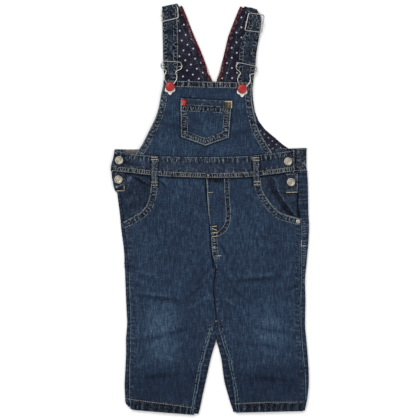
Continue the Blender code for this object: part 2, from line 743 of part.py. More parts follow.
def front_bib():
    """The bib, its side hems and its top hem a second layer thick."""
    width = FRONT_BIB[0].x_inner - FRONT_BIB[0].x_outer
    hem, edge = BIB_SIDE_HEM / width, HEM_STEP / width
    middle = [share for share in even_columns(8) if hem < share < 1.0 - hem]
    columns = [0.0, hem, hem + edge, *middle[1:-1], 1.0 - hem - edge, 1.0 - hem, 1.0]

    def wall_at(share, row):
        in_hem = share < hem + edge / 2 or share > 1.0 - hem - edge / 2
        return HEM if in_hem else row.wall

    rows = refined(FRONT_BIB, ROW_STEP)
    level, trim = level_at(BIB_LEVEL), above_band(FRONT_BAND)
    return plate("front_bib", rows, columns, level, denim(), wall_at, trim)


def back_bib():
    rows = refined(BACK_BIB, ROW_STEP * 1.5)
    trim = above_band(BACK_BAND)
    return plate("back_bib", rows, even_columns(6), level_at(0.0), denim(), trim=trim)


def back_bib_lining():
    rows = [row._replace(wall=LINING) for row in refined(BACK_BIB, ROW_STEP * 1.5)]
    level, trim = level_at(LINING_LEVEL), above_band(BACK_BAND)
    return plate("back_bib_lining", rows, even_columns(6), level, lining(), trim=trim)


def strap_points(edges, normal, middle_height, wall, columns):
    """One row across a strap, as outer and inner points."""
    (x_outer, y_outer), (x_inner, y_inner) = edges
    half = normal * (wall / 2)
    outer, inner = [], []
    for share in columns:
        x = x_outer + (x_inner - x_outer) * share
        y = y_outer + (y_inner - y_outer) * share
        middle = Vector((x, y, middle_height))
        outer.append(middle + half)
        inner.append(middle - half)
    return outer, inner


def shoulder_fold(fold):
    """Rows of the half turn at the shoulder, from the floor up to the front run."""
    start, end = Vector(fold[0]), Vector(fold[1])
    across = (end - start).normalized()
    outward = Vector((-across.y, across.x))
    if outward.y < 0.0:
        outward = -outward
    radius = STRAP_FRONT_LEVEL / 2
    for step in range(FOLD_STEPS * 2 + 1):
        turn = math.pi * step / (FOLD_STEPS * 2)
        shift = outward * (radius * math.sin(turn) - radius - DENIM / 2)
        normal = Vector((outward.x * math.sin(turn), outward.y * math.sin(turn), -math.cos(turn)))
        height = DENIM / 2 + radius * (1.0 - math.cos(turn))
        yield (start + shift, end + shift), normal, height


def strap(name, back_rows, fold, front_rows):
    columns = even_columns(3)
    rows = []
    down, up = Vector((0.0, 0.0, -1.0)), Vector((0.0, 0.0, 1.0))
    for row in refined(back_rows, ROW_STEP * 1.6):
        edges = ((row.x_outer, row.y_outer), (row.x_inner, row.y_inner))
        rows.append(strap_points(edges, down, DENIM / 2, DENIM, columns))
    for edges, normal, height in shoulder_fold(fold):
        rows.append(strap_points(edges, normal, height, DENIM, columns))
    for row in refined(front_rows, ROW_STEP):
        edges = ((row.x_outer, row.y_outer), (row.x_inner, row.y_inner))
        rows.append(strap_points(edges, up, row.level + DENIM / 2, DENIM, columns))
    outer = [row[0] for row in rows]
    inner = [row[1] for row in rows]
    return shell(name, outer, inner, denim())


def strap_lining(name, back_rows, fold):
    """The dotted lining on a strap's back run, up to the shoulder fold."""
    start, end = fold
    clearance = STRAP_FRONT_LEVEL / 2 + DENIM + GAP
    top = StrapRow(start[1] - clearance, start[0], end[1] - clearance, end[0], 0.0)
    rows = [
        PanelRow(row.y_outer, row.x_outer, row.y_inner, row.x_inner, LINING)
        for row in refined((*back_rows, top), ROW_STEP * 1.6)
    ]
    return plate(name, rows, even_columns(3), level_at(LINING_LEVEL), lining())


def neck_binding(name, edge, inward):
    """Binding over the neck edge: a flange on the lining and a side down to the floor."""
    points = [Vector(point) for point in smooth_rows(edge, ROW_STEP)]
    top = LINING_LEVEL + LINING + GAP + BINDING
    outer, inner = [], []
    for index, point in enumerate(points):
        before = points[max(index - 1, 0)]
        after = points[min(index + 1, len(points) - 1)]
        along = (after - before).normalized()
        across = Vector((along.y, -along.x))
        if across.x * inward < 0.0:
            across = -across
        flange = point + across * BINDING_WIDTH
        inside = point + across * BINDING
        outer.append([(*flange, top), (*point, top), (*point, 0.0)])
        inner.append([(*flange, top - BINDING), (*inside, top - BINDING), (*inside, 0.0)])
    return shell(name, outer, inner, finish("binding", BINDING_RED, 0.7))


def bib_pocket():
    """The pocket, from its hem down to its pointed lower edge."""
    shares = even_columns(6)
    bottom_x = np.interp(shares, (0.0, 0.5, 1.0), [p[0] for p in BIB_POCKET_BOTTOM])
    bottom_y = np.interp(shares, (0.0, 0.5, 1.0), [p[1] for p in BIB_POCKET_BOTTOM])
    (x_start, y_start), (x_end, y_end) = BIB_POCKET_TOP
    outer, inner = [], []
    for down in (0.0, BIB_POCKET_HEM, BIB_POCKET_HEM + 0.02, 0.45, 0.7, 1.0):
        wall = HEM if down <= BIB_POCKET_HEM else DENIM
        upper, lower = [], []
        for share, x_low, y_low in zip(shares, bottom_x, bottom_y):
            x = (x_start + (x_end - x_start) * share) * (1.0 - down) + x_low * down
            y = (y_start + (y_end - y_start) * share) * (1.0 - down) + y_low * down
            lower.append((x, y, POCKET_LEVEL))
            upper.append((x, y, POCKET_LEVEL + wall))
        outer.append(upper)
        inner.append(lower)
    return shell("bib_pocket", outer, inner, denim())


def badge(name, corners, material):
    """A small folded tape that lies on the pocket's hem."""
    (x_start, y_start), (x_end, y_end) = corners
    rows = [PanelRow(y, x_start, y, x_end, LINING) for y in (y_start, y_end)]
    return plate(name, rows, even_columns(1), level_at(BADGE_LEVEL), material)


def belt_loop(name, ends):
    (low_left, low_right, low_y), (high_left, high_right, high_y) = ends
    outer, inner = [], []
    for share, level in smooth_rows(LOOP_ROWS, 0.25):
        x_left = low_left + (high_left - low_left) * share
        x_right = low_right + (high_right - low_right) * share
        y = low_y + (high_y - low_y) * share
        outer.append([(x, y, level + DENIM) for x in (x_left, x_right)])
        inner.append([(x, y, level) for x in (x_left, x_right)])
    return shell(name, outer, inner, waist_denim())


def turned(name, profile, material, sides=ROUND_SIDES):
    """A round piece from its profile of (radius, height) pairs, both ends on the axis."""
    bm = bmesh.new()
    points = [bm.verts.new((radius * MM, 0.0, height * MM)) for radius, height in profile]
    edges = [bm.edges.new(pair) for pair in zip(points, points[1:])]
    bmesh.ops.spin(
        bm,
        geom=points + edges,
        axis=(0.0, 0.0, 1.0),
        cent=(0.0, 0.0, 0.0),
        angle=2.0 * math.pi,
        steps=sides,
        use_merge=True,
    )
    bmesh.ops.remove_doubles(bm, verts=bm.verts, dist=1e-6)
    return add_object(name, bm, material)


def side_button(name, x, y, z):
    """A shank button: a stem, and a head with a raised rim round a dished face."""
    radius, height = SIDE_BUTTON_RADIUS, SIDE_BUTTON_HEIGHT
    profile = (
        (0.0, 0.0),
        (radius * 0.45, 0.0),
        (radius * 0.45, height * 0.35),
        (radius * 0.92, height * 0.35),
        (radius, height * 0.62),
        (radius * 0.9, height),
        (radius * 0.72, height * 0.98),
        (radius * 0.62, height * 0.76),
        (0.0, height * 0.84),
    )
    button = turned(name, profile, silver_button())
    button.location = Vector((x, y, z)) * MM
    return button


def rivet():
    radius, height = RIVET_RADIUS, RIVET_HEIGHT
    profile = (
        (0.0, 0.0),
        (radius, 0.0),
        (radius, height * 0.3),
        (radius * 0.7, height * 0.8),
        (radius * 0.36, height * 0.85),
        (0.0, height),
    )
    piece = turned("pocket_rivet", profile, silver_button(), 14)
    piece.location = Vector(RIVET_PLACE) * MM
    return piece


def strap_button_base(name, place):
    """A flat plate under the cap, with three rounded points below it."""
    bm = bmesh.new()
    rim = []
    for step in range(BASE_STEPS):
        angle = 2.0 * math.pi * step / BASE_STEPS
        downward = max(0.0, -math.sin(angle))
        point = 0.5 + 0.5 * math.cos(BASE_POINTS * (angle + math.pi / 2))
        reach = BASE_LOWER_REACH + BASE_POINT_REACH * point
        radius = BASE_RADIUS + reach * ramp(downward, 0.0, 0.45)
        x, y = radius * math.cos(angle), radius * math.sin(angle) - BASE_DROP * downward
        rim.append(bm.verts.new((x * MM, y * MM, 0.0)))
    face = bm.faces.new(rim)
    raised = bmesh.ops.extrude_face_region(bm, geom=[face])["geom"]
    moved = [item for item in raised if isinstance(item, bmesh.types.BMVert)]
    bmesh.ops.translate(bm, verts=moved, vec=(0.0, 0.0, BASE_HEIGHT * MM))
    plate_height = BIB_LEVEL + HEM + GAP
    piece = add_object(name, bm, finish("enamel_white", BASE_WHITE, 0.35))
    piece.location = Vector((*place, plate_height)) * MM
    return piece


def strap_button_cap(name, place):
    """The round cap on its shank, which the clip's wire passes round."""
    radius = STRAP_CAP_RADIUS
    foot = BIB_LEVEL + HEM + GAP + BASE_HEIGHT + GAP
    head = CLIP_LOOP_HEIGHT + WIRE / 2 + GAP - foot
    profile = (
        (0.0, 0.0),
        (STRAP_SHANK_RADIUS, 0.0),
        (STRAP_SHANK_RADIUS, head),
        (radius * 0.94, head),
        (radius, head + 0.8),
        (radius * 0.93, head + 1.7),
        (radius * 0.7, head + 2.3),
        (0.0, head + 2.6),
    )
    piece = turned(name, profile, finish("enamel_red", CAP_RED, 0.3))
    piece.location = Vector((*place, foot)) * MM
    return piece


def wire(name, path, diameter, closed):
    """Round wire along a path of points."""
    curve = bpy.data.curves.new(name, "CURVE")
    curve.dimensions = "3D"
    curve.bevel_depth = diameter / 2 * MM
    curve.bevel_resolution = 2
    curve.use_fill_caps = not closed
    spline = curve.splines.new("POLY")
    spline.points.add(len(path) - 1)
    for point, place in zip(spline.points, path):
        point.co = (*(Vector(place) * MM), 1.0)
    spline.use_cyclic_u = closed
    curve.materials.append(silver_wire())
    piece = bpy.data.objects.new(name, curve)
    bpy.context.scene.collection.objects.link(piece)
    return piece


def clip(side, button, tilt):
    """A clip's wire frame and its cross bar, on the axis from its button."""
    half = [(-p.across, p.along, p.height) for p in CLIP_HALF]
    mirrored = [(-x, y, z) for x, y, z in half[-2:0:-1]]
    frame = wire(f"clip_frame_{side}", half + mirrored, WIRE, True)
    reach, flat = CLIP_BAR_REACH, CLIP_STRAP_HALF_WIDTH
    path = [
        (-reach, CLIP_BAR_ALONG, BAR_END_HEIGHT),
        (-flat, CLIP_BAR_ALONG, BAR_HEIGHT),
        (0.0, CLIP_BAR_ALONG, BAR_HEIGHT),
        (flat, CLIP_BAR_ALONG, BAR_HEIGHT),
        (reach, CLIP_BAR_ALONG, BAR_END_HEIGHT),
    ]
    bar = wire(f"clip_bar_{side}", path, BAR, False)
    for piece in (frame, bar):
        piece.location = Vector((*button, 0.0)) * MM
        piece.rotation_euler.z = math.radians(tilt)


def slider(side, corners):
    """A slider's frame with rounded corners, and the bar under the strap."""
    points = [Vector((*corner, FRAME_HEIGHT)) for corner in corners]
    path = []
    for index, corner in enumerate(points):
        before = (points[index - 1] - corner).normalized()
        after = (points[(index + 1) % 4] - corner).normalized()
        entry, leave = corner + before * SLIDER_CORNER, corner + after * SLIDER_CORNER
        path += [entry, corner.lerp((entry + leave) / 2, 0.45), leave]
    wire(f"slider_frame_{side}", path, WIRE, True)
    start = (points[0] + points[3]) / 2
    end = (points[1] + points[2]) / 2
    along = (end - start).normalized()
    bar_path = [
        start.xy.to_3d() + Vector((0.0, 0.0, BAR_END_HEIGHT)),
        (start + along * SLIDER_BAR_RISE).xy.to_3d() + Vector((0.0, 0.0, BAR_HEIGHT)),
        (end - along * SLIDER_BAR_RISE).xy.to_3d() + Vector((0.0, 0.0, BAR_HEIGHT)),
        end.xy.to_3d() + Vector((0.0, 0.0, BAR_END_HEIGHT)),
    ]
    wire(f"slider_bar_{side}", bar_path, BAR, False)


def legs():
    back_leg("back_leg_right", BACK_LEG_RIGHT, -1.0)
    back_leg("back_leg_left", BACK_LEG_LEFT, 1.0)
    columns = even_columns(LEG_COLUMNS)
    rows, trim = refined(FRONT_LEG_RIGHT, ROW_STEP), inside_seams(BACK_LEG_RIGHT, -1.0)
    plate("front_leg_right", rows, columns, over_facing_level, denim(), trim=trim)
    rows, trim = refined(FRONT_LEG_LEFT, ROW_STEP), inside_seams(BACK_LEG_LEFT, 1.0)
    plate("front_leg_left", rows, columns, over_fly_level, denim(), trim=trim)


def hips():
    for side, table, back, outward in (
        ("right", FACING_RIGHT, BACK_LEG_RIGHT, -1.0),
        ("left", FACING_LEFT, BACK_LEG_LEFT, 1.0),
    ):
        name, rows = f"pocket_facing_{side}", refined(table, ROW_STEP)
        trim = inside_seams(back, outward)
        plate(name, rows, even_columns(4), front_level, denim(), trim=trim)
    trim = below_band(FRONT_BAND)
    for side, table in (("right", PLACKET_RIGHT), ("left", PLACKET_LEFT)):
        name, rows = f"side_placket_{side}", refined(table, ROW_STEP)
        level = level_at(BAND_LEVEL)
        plate(name, rows, even_columns(2), level, waist_denim(), trim=trim)
    back_waistband()
    front_waistband()
    belt_loop("belt_loop_right", LOOP_RIGHT)
    belt_loop("belt_loop_left", LOOP_LEFT)
    for button in SIDE_BUTTONS:
        side_button(*button)
    rivet()


def bib():
    back_bib()
    back_bib_lining()
    front_bib()
    bib_pocket()
    badge("pocket_tag", TAG, finish("tag_red", CAP_RED, 0.7))
    badge("pocket_label", LABEL, finish("label_cream", LABEL_CREAM, 0.8))


def straps():
    strap("strap_right", STRAP_RIGHT_BACK, STRAP_RIGHT_FOLD, STRAP_RIGHT_FRONT)
    strap("strap_left", STRAP_LEFT_BACK, STRAP_LEFT_FOLD, STRAP_LEFT_FRONT)
    strap_lining("strap_lining_right", STRAP_RIGHT_BACK, STRAP_RIGHT_FOLD)
    strap_lining("strap_lining_left", STRAP_LEFT_BACK, STRAP_LEFT_FOLD)
    neck_binding("neck_binding_right", NECK_EDGE_RIGHT, -1.0)
    neck_binding("neck_binding_left", NECK_EDGE_LEFT, 1.0)
    for side, place, tilt in (
        ("right", STRAP_BUTTON_RIGHT, CLIP_TILT_RIGHT),
        ("left", STRAP_BUTTON_LEFT, CLIP_TILT_LEFT),
    ):
        strap_button_base(f"strap_button_base_{side}", place)
        strap_button_cap(f"strap_button_cap_{side}", place)
        clip(side, place, tilt)
    slider("right", SLIDER_RIGHT)
    slider("left", SLIDER_LEFT)


clear_scene()
legs()
hips()
bib()
straps()
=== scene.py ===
"""A toddler's denim bib overalls, laid flat: their cloth, stitching and fittings.

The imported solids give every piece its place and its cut. Each cloth piece here
is a finer skin on its solid, with puckers along its seams and creases in its
cloth. Tables and sizes are in millimetres in the overalls' own frame: +X goes
towards the wearer's left side, +Y from the hems to the straps, +Z up.
"""

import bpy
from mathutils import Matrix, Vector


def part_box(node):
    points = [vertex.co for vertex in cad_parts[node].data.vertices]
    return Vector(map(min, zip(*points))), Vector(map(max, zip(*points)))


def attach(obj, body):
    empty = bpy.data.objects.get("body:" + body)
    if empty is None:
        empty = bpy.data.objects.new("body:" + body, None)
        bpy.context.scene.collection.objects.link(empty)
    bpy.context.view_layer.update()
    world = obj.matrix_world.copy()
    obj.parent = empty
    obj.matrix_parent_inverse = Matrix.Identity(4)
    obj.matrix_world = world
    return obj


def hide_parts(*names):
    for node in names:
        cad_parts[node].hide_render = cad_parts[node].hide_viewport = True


bl_info = {
    "name": "Denim Bib Overalls",
    "version": (1, 0, 0),
    "blender": (4, 5, 0),
    "location": "3D View > Sidebar > Overalls",
    "description": "Dresses flat denim overalls with cloth, stitching and metal fittings",
    "category": "Mesh",
}

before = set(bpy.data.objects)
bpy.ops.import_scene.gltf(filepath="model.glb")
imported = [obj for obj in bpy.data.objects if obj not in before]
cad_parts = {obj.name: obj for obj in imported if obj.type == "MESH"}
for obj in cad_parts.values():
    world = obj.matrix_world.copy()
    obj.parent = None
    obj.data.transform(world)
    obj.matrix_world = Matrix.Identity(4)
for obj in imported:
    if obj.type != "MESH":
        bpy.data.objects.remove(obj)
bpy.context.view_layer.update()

import functools
import math
from collections import namedtuple

import bmesh
import bpy
import numpy as np
from bpy.props import FloatProperty, FloatVectorProperty, PointerProperty
from mathutils import Vector
from mathutils.bvhtree import BVHTree

MM = 0.001
BODY = "root"
UP = Vector((0.0, 0.0, 1.0))
SIDES = ("right", "left")

# Which side of a solid a face is on
HIDDEN, FRONT, BACK = 0, 1, 2

# How the skins are made
BACK_STEP = 3.4
COVER_REACH = 8.0
RISE_LIMIT = 0.3
WALL_LEFT = 0.45
SMOOTHING_ROUNDS = 8
RIM_ANGLE = math.radians(55.0)
SHARP_ANGLE = math.radians(50.0)

# Puckers beside a path: where they start and end, how far apart and how high
# they are, and how pale, dark and rubbed they make the cloth, the dark of their hollows partly painted shade
Band = namedtuple("Band", "path near far pitch height ridge hollow rubbed slant")
Hill = namedtuple("Hill", "x y angle length width amount")

# Width and length of each cloth piece before it was sewn and folded: the smallest
# rectangle round its pattern, with what wraps round a fold laid out flat
CUTS = {
    "back_leg_right": (158.0, 350.0), "back_leg_left": (168.0, 350.0),
    "front_leg_right": (133.0, 345.0), "front_leg_left": (137.0, 342.0),
    "pocket_facing_right": (57.0, 79.0), "pocket_facing_left": (70.0, 79.0),
    "side_placket_right": (20.5, 30.0), "side_placket_left": (20.5, 30.0),
    "back_waistband": (322.0, 37.0), "front_waistband": (266.0, 41.0),
    "belt_loop_right": (11.0, 47.0), "belt_loop_left": (12.0, 46.0),
    "back_bib": (211.0, 90.0), "back_bib_lining": (211.0, 90.0),
    "front_bib": (197.0, 106.0), "bib_pocket": (74.0, 69.0),
    "strap_right": (68.0, 250.0), "strap_left": (66.0, 250.0),
    "strap_lining_right": (70.0, 113.0), "strap_lining_left": (61.0, 113.0),
    "neck_binding_right": (10.5, 120.0), "neck_binding_left": (10.5, 120.0),
}

# Creases that a flat garment keeps: ridges above 0, troughs below it, painted paler on their ridges and
# darker in their troughs as painted light and shade
FRONT_CREASES = [Hill(*crease) for crease in (
    (-118, -82, -20, 16, 2.2, -0.45), (-112, -97, -26, 20, 2.6, 0.3), (-104, -88, -18, 26, 2.4, 0.3),
    (-72, -128, -6, 30, 3.0, -0.4), (-80, -122, -8, 26, 3.0, 0.25), (-48, -176, 14, 24, 3.4, -0.3),
    (-86, -186, 8, 22, 3.2, -0.25), (-74, -240, 4, 30, 3.2, -0.3), (-60, -214, -12, 24, 3.0, 0.2),
    (-22, -118, 40, 20, 1.9, -0.26), (-14, -132, 34, 20, 2.6, 0.25), (-10, -96, 52, 18, 1.9, -0.24),
    (-64, 38, -50, 6, 1.4, 0.55), (-67, 36, -50, 6, 1.4, -0.5), (40, -120, -40, 20, 1.9, -0.28),
    (30, -134, -36, 20, 2.6, 0.25), (24, -98, -54, 18, 1.9, -0.24), (20, -58, -58, 12, 2.0, -0.45),
    (64, -101, 4, 30, 2.8, -0.4), (74, -95, 8, 26, 2.8, 0.25), (124, -110, 26, 12, 2.2, -0.4),
    (118, -118, 24, 14, 2.4, 0.25), (98, -176, -12, 26, 3.2, -0.25), (76, -196, -4, 26, 3.2, -0.25),
    (84, -244, -4, 30, 3.2, -0.3), (66, -222, 10, 22, 3.0, 0.2), (-99, 40.5, -30, 13, 1.5, -1.2),
    (-101, 45.5, -30, 10, 2.0, 0.25), (-116, 45, 50, 5, 2.4, 0.55), (-112, 20, 66, 14, 3.0, 0.25),
    (-132, 34, 26, 6, 1.4, 0.7), (-129.5, 30.5, 26, 6, 1.4, -0.8), (116, 24, 4, 8, 1.6, -0.7),
    (-40, 118, -12, 26, 3.0, -0.25), (48, 112, 14, 22, 3.0, -0.25), (-8, 112, 84, 12, 2.6, 0.25),
    (-122, 68, -14, 10, 2.0, -0.5), (-104, 73, -24, 8, 1.8, 0.45),
)]
BACK_CREASES = [Hill(*crease) for crease in (
    (-66, -60, -8, 40, 3.4, -0.4), (-58, -92, 12, 34, 3.4, -0.35), (-74, -150, -6, 36, 4.0, -0.4),
    (-62, -176, 10, 30, 3.6, -0.35), (-70, -238, 4, 34, 3.6, -0.35), (72, -64, 8, 40, 3.4, -0.4),
    (64, -96, -12, 34, 3.4, -0.35), (84, -148, 6, 36, 4.0, -0.4), (76, -180, -10, 30, 3.6, -0.35),
    (86, -242, -4, 34, 3.6, -0.35), (-20, 120, 8, 30, 3.4, -0.35),
)]
# Where the denim has faded, worn at the knees and thighs, and where it is dark, at the shins
FADES = [Hill(*fade) for fade in (
    (-71.6, -170, 86, 38, 26, 0.34), (-64, -206, 90, 24, 20, 0.08), (85.9, -172, 94, 36, 24, 0.26),
    (-90, -66, 0, 34, 40, 0.05), (6, -70, 88, 60, 30, 0.04), (-60, 10, 90, 40, 30, 0.02),
    (40, -20, 90, 50, 26, 0.02), (-66, -254, 0, 80, 30, -0.26), (84, -252, 0, 80, 30, -0.26),
    (-66, -292, 0, 80, 14, -0.1), (84, -288, 0, 80, 14, -0.1), (-100, 20, 0, 26, 34, -0.16),
    (-8, 100, 0, 60, 14, 0.06),
)]

# Ends of each front leg's edges, going round it with the cloth on the left
LEG_EDGES = {
    "right": {
        "hem": ((-116.3, -288.6), (-22.9, -296.2)), "inseam": ((-22.9, -296.2), (6.4, -161.7)),
        "outseam": ((-124.0, -17.5), (-116.3, -288.6)), "pocket": ((-84.7, 48.4), (-124.0, -17.5)),
    },
    "left": {
        "hem": ((37.4, -292.9), (130.9, -290.7)), "inseam": ((8.8, -159.5), (37.4, -292.9)),
        "outseam": ((130.9, -290.7), (130.9, -13.4)), "pocket": ((130.9, -13.4), (72.8, 47.6)),
        "fly": ((-5.2, 44.5), (8.7, -83.0)), "centre": ((8.7, -83.0), (8.8, -159.5)),
    },
}
# The left side seam from the hem up: y, then x in the solid's cut, at the outer
# fold, and where the seam of the finished cloth lies
SIDE_SEAM_LEFT = np.array((
    (-291.0, 131.2, 137.0, 134.6), (-275.0, 131.7, 140.4, 137.2), (-255.0, 131.9, 142.6, 137.2),
    (-232.0, 131.6, 142.7, 136.0), (-200.0, 130.5, 140.7, 132.6), (-170.0, 129.8, 138.0, 130.4),
    (-131.0, 129.8, 138.5, 130.0), (-105.0, 130.5, 137.8, 130.6), (-35.0, 131.5, 143.2, 131.5),
    (-13.5, 131.2, 143.2, 130.4), (-3.6, 126.9, 142.5, 128.8), (10.0, 117.5, 142.1, 127.4),
    (56.0, 117.5, 140.4, 127.2),
))
HEM_ROW_RIGHT = ((-116.0, -273.4), (-70.0, -279.4), (-21.6, -286.2))
HEM_ROW_LEFT = ((35.8, -280.0), (84.0, -277.6), (130.6, -277.6))
# The rows of the fly from the waistband down, and its flap's edge on the other leg, beside which the flap's
# shadow is painted
FLY_INNER_ROW = ((21.0, 43.0), (21.4, 22.0), (23.4, -2.0), (23.0, -17.0), (18.6, -26.5), (11.0, -32.5))
FLY_OUTER_ROW = ((27.0, 43.0), (27.6, 20.0), (29.8, -4.0), (28.8, -20.5), (23.0, -31.5), (12.0, -38.5))
FLY_EDGE = ((-5.2, 48.0), (-4.0, 20.0), (-1.6, 5.0), (0.6, -8.0), (1.5, -30.0), (3.5, -62.0), (6.0, -84.0))
# The fold inside the left hip pocket, with painted shade between it and the opening
FACING_FOLD = ((88.5, 49.0), (95.0, 40.0), (97.6, 28.3), (108.8, 10.9), (117.5, -0.7), (126.2, -12.0))
BAND_BOTTOM = ((-142.6, 54.9), (121.8, 54.7))
BAND_TOP = ((121.8, 85.4), (-137.0, 85.2))
# Top edges of both waistbands, which the bib's pieces are sewn to
FRONT_BAND_TOP = ((-143.2, 84.4), (-137.0, 85.2), (-123.2, 81.9), (-87.0, 78.3), (-43.5, 76.4), (7.2, 76.1),
                  (50.8, 77.4), (87.0, 81.2), (108.8, 84.1), (121.8, 85.4))
BACK_BAND_TOP = ((-140.9, 86.8), (-87.0, 86.6), (5.8, 85.5), (87.0, 87.0), (139.9, 88.7))
# Middle of each neck binding, from the shoulder down to the back bib
NECK_MIDDLE = {
    "right": ((-42.4, 287.0), (-35.7, 273.7), (-25.9, 250.6), (-11.3, 216.4), (-1.3, 180.6)),
    "left": ((45.6, 286.0), (36.9, 269.2), (29.1, 249.8), (21.3, 216.6), (12.6, 180.4)),
}
# Each bar tack's piece, middle, lean in degrees and length
TACKS = (
    ("belt_loop_right", -80.2, 75.4, 0.0, 9.0), ("belt_loop_right", -80.2, 71.8, 0.0, 9.0),
    ("belt_loop_right", -80.2, 39.6, 0.0, 9.0), ("belt_loop_right", -80.2, 35.0, 0.0, 9.0),
    ("belt_loop_left", 66.0, 74.6, 2.0, 9.2), ("belt_loop_left", 66.2, 71.0, 2.0, 9.2),
    ("belt_loop_left", 67.4, 40.0, 2.0, 8.0), ("belt_loop_left", 67.6, 35.6, 2.0, 8.0),
    ("side_placket_right", -128.2, 26.9, 0.0, 11.6), ("side_placket_right", -123.6, 31.0, 90.0, 6.0),
    ("side_placket_left", 117.4, 24.8, 3.0, 17.0), ("front_leg_left", 1.0, 24.6, 0.0, 5.6),
    ("front_leg_left", 6.6, -24.2, 10.0, 5.6), ("front_leg_left", 6.4, -28.6, -22.0, 7.0),
    ("front_leg_left", 7.2, -33.2, 8.0, 7.6), ("front_leg_left", 7.0, -38.6, 8.0, 8.0),
    ("front_leg_left", 13.0, -66.6, 6.0, 6.4), ("back_leg_left", 134.6, -52.4, 4.0, 5.6),
    ("back_leg_left", 131.9, -48.0, 88.0, 7.0),
)

# A clip's wire from its lower cross bar up round its button: along the strap,
# out to one side, and up from the surface
CLIP_HALF = (
    (36.2, 0.0, 7.1), (36.2, 10.6, 7.1), (34.6, 13.6, 7.1), (30.3, 15.1, 7.1), (26.2, 13.4, 7.1),
    (24.0, 9.0, 7.4), (21.6, 7.0, 7.7), (18.6, 8.0, 8.1), (15.2, 9.0, 8.5), (11.0, 8.8, 9.0),
    (7.2, 6.6, 9.0), (3.4, 4.8, 9.0),
    (-0.6, 4.3, 9.0), (-3.4, 2.8, 9.0), (-4.4, 0.0, 9.0),
)
CLIP_BAR = ((-14.4, 30.0, 5.0), (-12.6, 30.0, 3.6), (0.0, 30.0, 3.6), (12.6, 30.0, 3.6), (14.4, 30.0, 5.0))
# Each clip's button, and how far the clip leans
CLIP_PLACES = {"right": (-57.6, 176.9, -3.9), "left": (46.3, 173.6, -11.8)}
SLIDER_CORNERS = {
    "right": ((-70.8, 290.4), (-46.2, 295.7), (-45.6, 276.2), (-69.8, 270.4)),
    "left": ((56.0, 283.2), (78.0, 280.0), (74.6, 255.2), (50.2, 258.2)),
}
SLIDER_LEVEL = 7.1
KNOB_LEVEL = 6.3
FRAME_RADIUS = 0.82
BAR_RADIUS = 0.62

FLOOR_HALF = 6.0
FLOOR_LEVEL = -0.4 * MM


# ---------------------------------------------------------------- settings


def colour(name, description, default):
    return FloatVectorProperty(
        name=name, description=description, default=default, subtype="COLOR", size=3, min=0.0, max=1.0
    )


def size(name, description, millimetres):
    return FloatProperty(
        name=name, description=description, default=millimetres * MM, unit="LENGTH", precision=5
    )


class OVERALLS_PG_cloth(bpy.types.PropertyGroup):
    """Cloth, its fineness and its colours"""

    step: size("Skin step", "Longest edge of the skin's faces on the front", 1.7)
    rim: size("Rim rounding", "Radius of the rounding along a cloth edge", 0.4)
    indigo: colour("Indigo", "The denim where it is neither faded nor dark", (0.0153, 0.0258, 0.0490))
    faded: colour("Faded indigo", "The denim where it has worn pale", (0.27, 0.30, 0.31))
    washed: colour("Washed indigo", "The denim where it has gone a little paler", (0.039, 0.069, 0.112))
    # The painted shade of creases, hollows and shadows darkens the denim towards raw
    raw: colour("Dark indigo", "The denim in its creases and hems", (0.0030, 0.0042, 0.0080))
    navy: colour("Lining navy", "Ground of the dotted lining", (0.0105, 0.0112, 0.0215))
    dots: colour("Lining dots", "Dots of the lining", (0.36, 0.36, 0.41))
    tape: colour("Waist tape", "Tape inside the back waistband", (0.100, 0.092, 0.084))
    binding: colour("Binding red", "Binding of the neck edges", (0.029, 0.0066, 0.0118))
    tag: colour("Tag red", "Small tag on the pocket", (0.36, 0.032, 0.028))
    label: colour("Label cream", "Small label on the pocket", (0.17, 0.145, 0.085))
    dot_spacing: size("Dot spacing", "From a dot to the next of its row", 10.3)
    dot_size: size("Dot size", "Diameter of a dot", 2.5)


class OVERALLS_PG_thread(bpy.types.PropertyGroup):
    """Sewing thread and how it is stitched"""

    pitch: size("Stitch pitch", "From a stitch to the next of its row", 3.2)
    length: size("Stitch length", "Length of one stitch", 2.9)
    thickness: size("Thread thickness", "Thickness of the topstitching thread", 0.78)
    tack_pitch: size("Tack pitch", "From a thread of a bar tack to the next", 0.55)
    tack_width: size("Tack width", "Width of a bar tack", 1.0)
    tan: colour("Topstitching", "Thread of the hems, the waistband and the bib's top", (0.29, 0.265, 0.205))
    grey: colour("Seam stitching", "Thread of the seams, the straps and the fly", (0.20, 0.225, 0.225))
    gold: colour("Bar tacks", "Thread of the bar tacks", (0.52, 0.47, 0.32))
    ridge: colour("Worn ridges", "Puckers and edges worn pale", (0.15, 0.18, 0.20))
    line: colour("Worn lines", "Lines of the seam allowances, worn a paler blue", (0.100, 0.160, 0.215))
    rose: colour("Binding thread", "Thread of the binding", (0.24, 0.032, 0.05))


class OVERALLS_PG_fittings(bpy.types.PropertyGroup):
    """Wires, buttons and caps"""

    knob: size("Knob diameter", "Rolled ends of the cross bars", 2.3)
    wire: colour("Wire", "Plated wire of the clips and sliders", (0.37, 0.36, 0.345))
    button: colour("Button", "Side buttons and the rivet", (0.42, 0.395, 0.33))
    cap: colour("Cap", "Enamel of the strap buttons", (0.30, 0.0060, 0.0065))
    base: colour("Base", "Enamel of the plates under the caps", (0.66, 0.64, 0.60))


class OVERALLS_PG_stage(bpy.types.PropertyGroup):
    """Floor, lights and camera"""

    view_width: size("View width", "Width of what the camera sees on the floor", 605.8)
    camera_height: size("Camera height", "Height of the camera over the floor", 5000.0)
    floor: colour("Floor", "Colour of the floor", (0.93, 0.93, 0.93))
    sky: FloatProperty(name="Sky", description="Strength of the light from all round", default=0.9)
    key: FloatProperty(name="Key light", description="Power of the main light", default=26.0, unit="POWER")
    fill: FloatProperty(name="Fill light", description="Power of the second light", default=9.0, unit="POWER")


# ---------------------------------------------------------------- numbers


def smooth(values, start, end):
    """0 at start, 1 at end, with level tangents at both."""
    share = np.clip((values - start) / (end - start), 0.0, 1.0)
    return share * share * (3.0 - 2.0 * share)


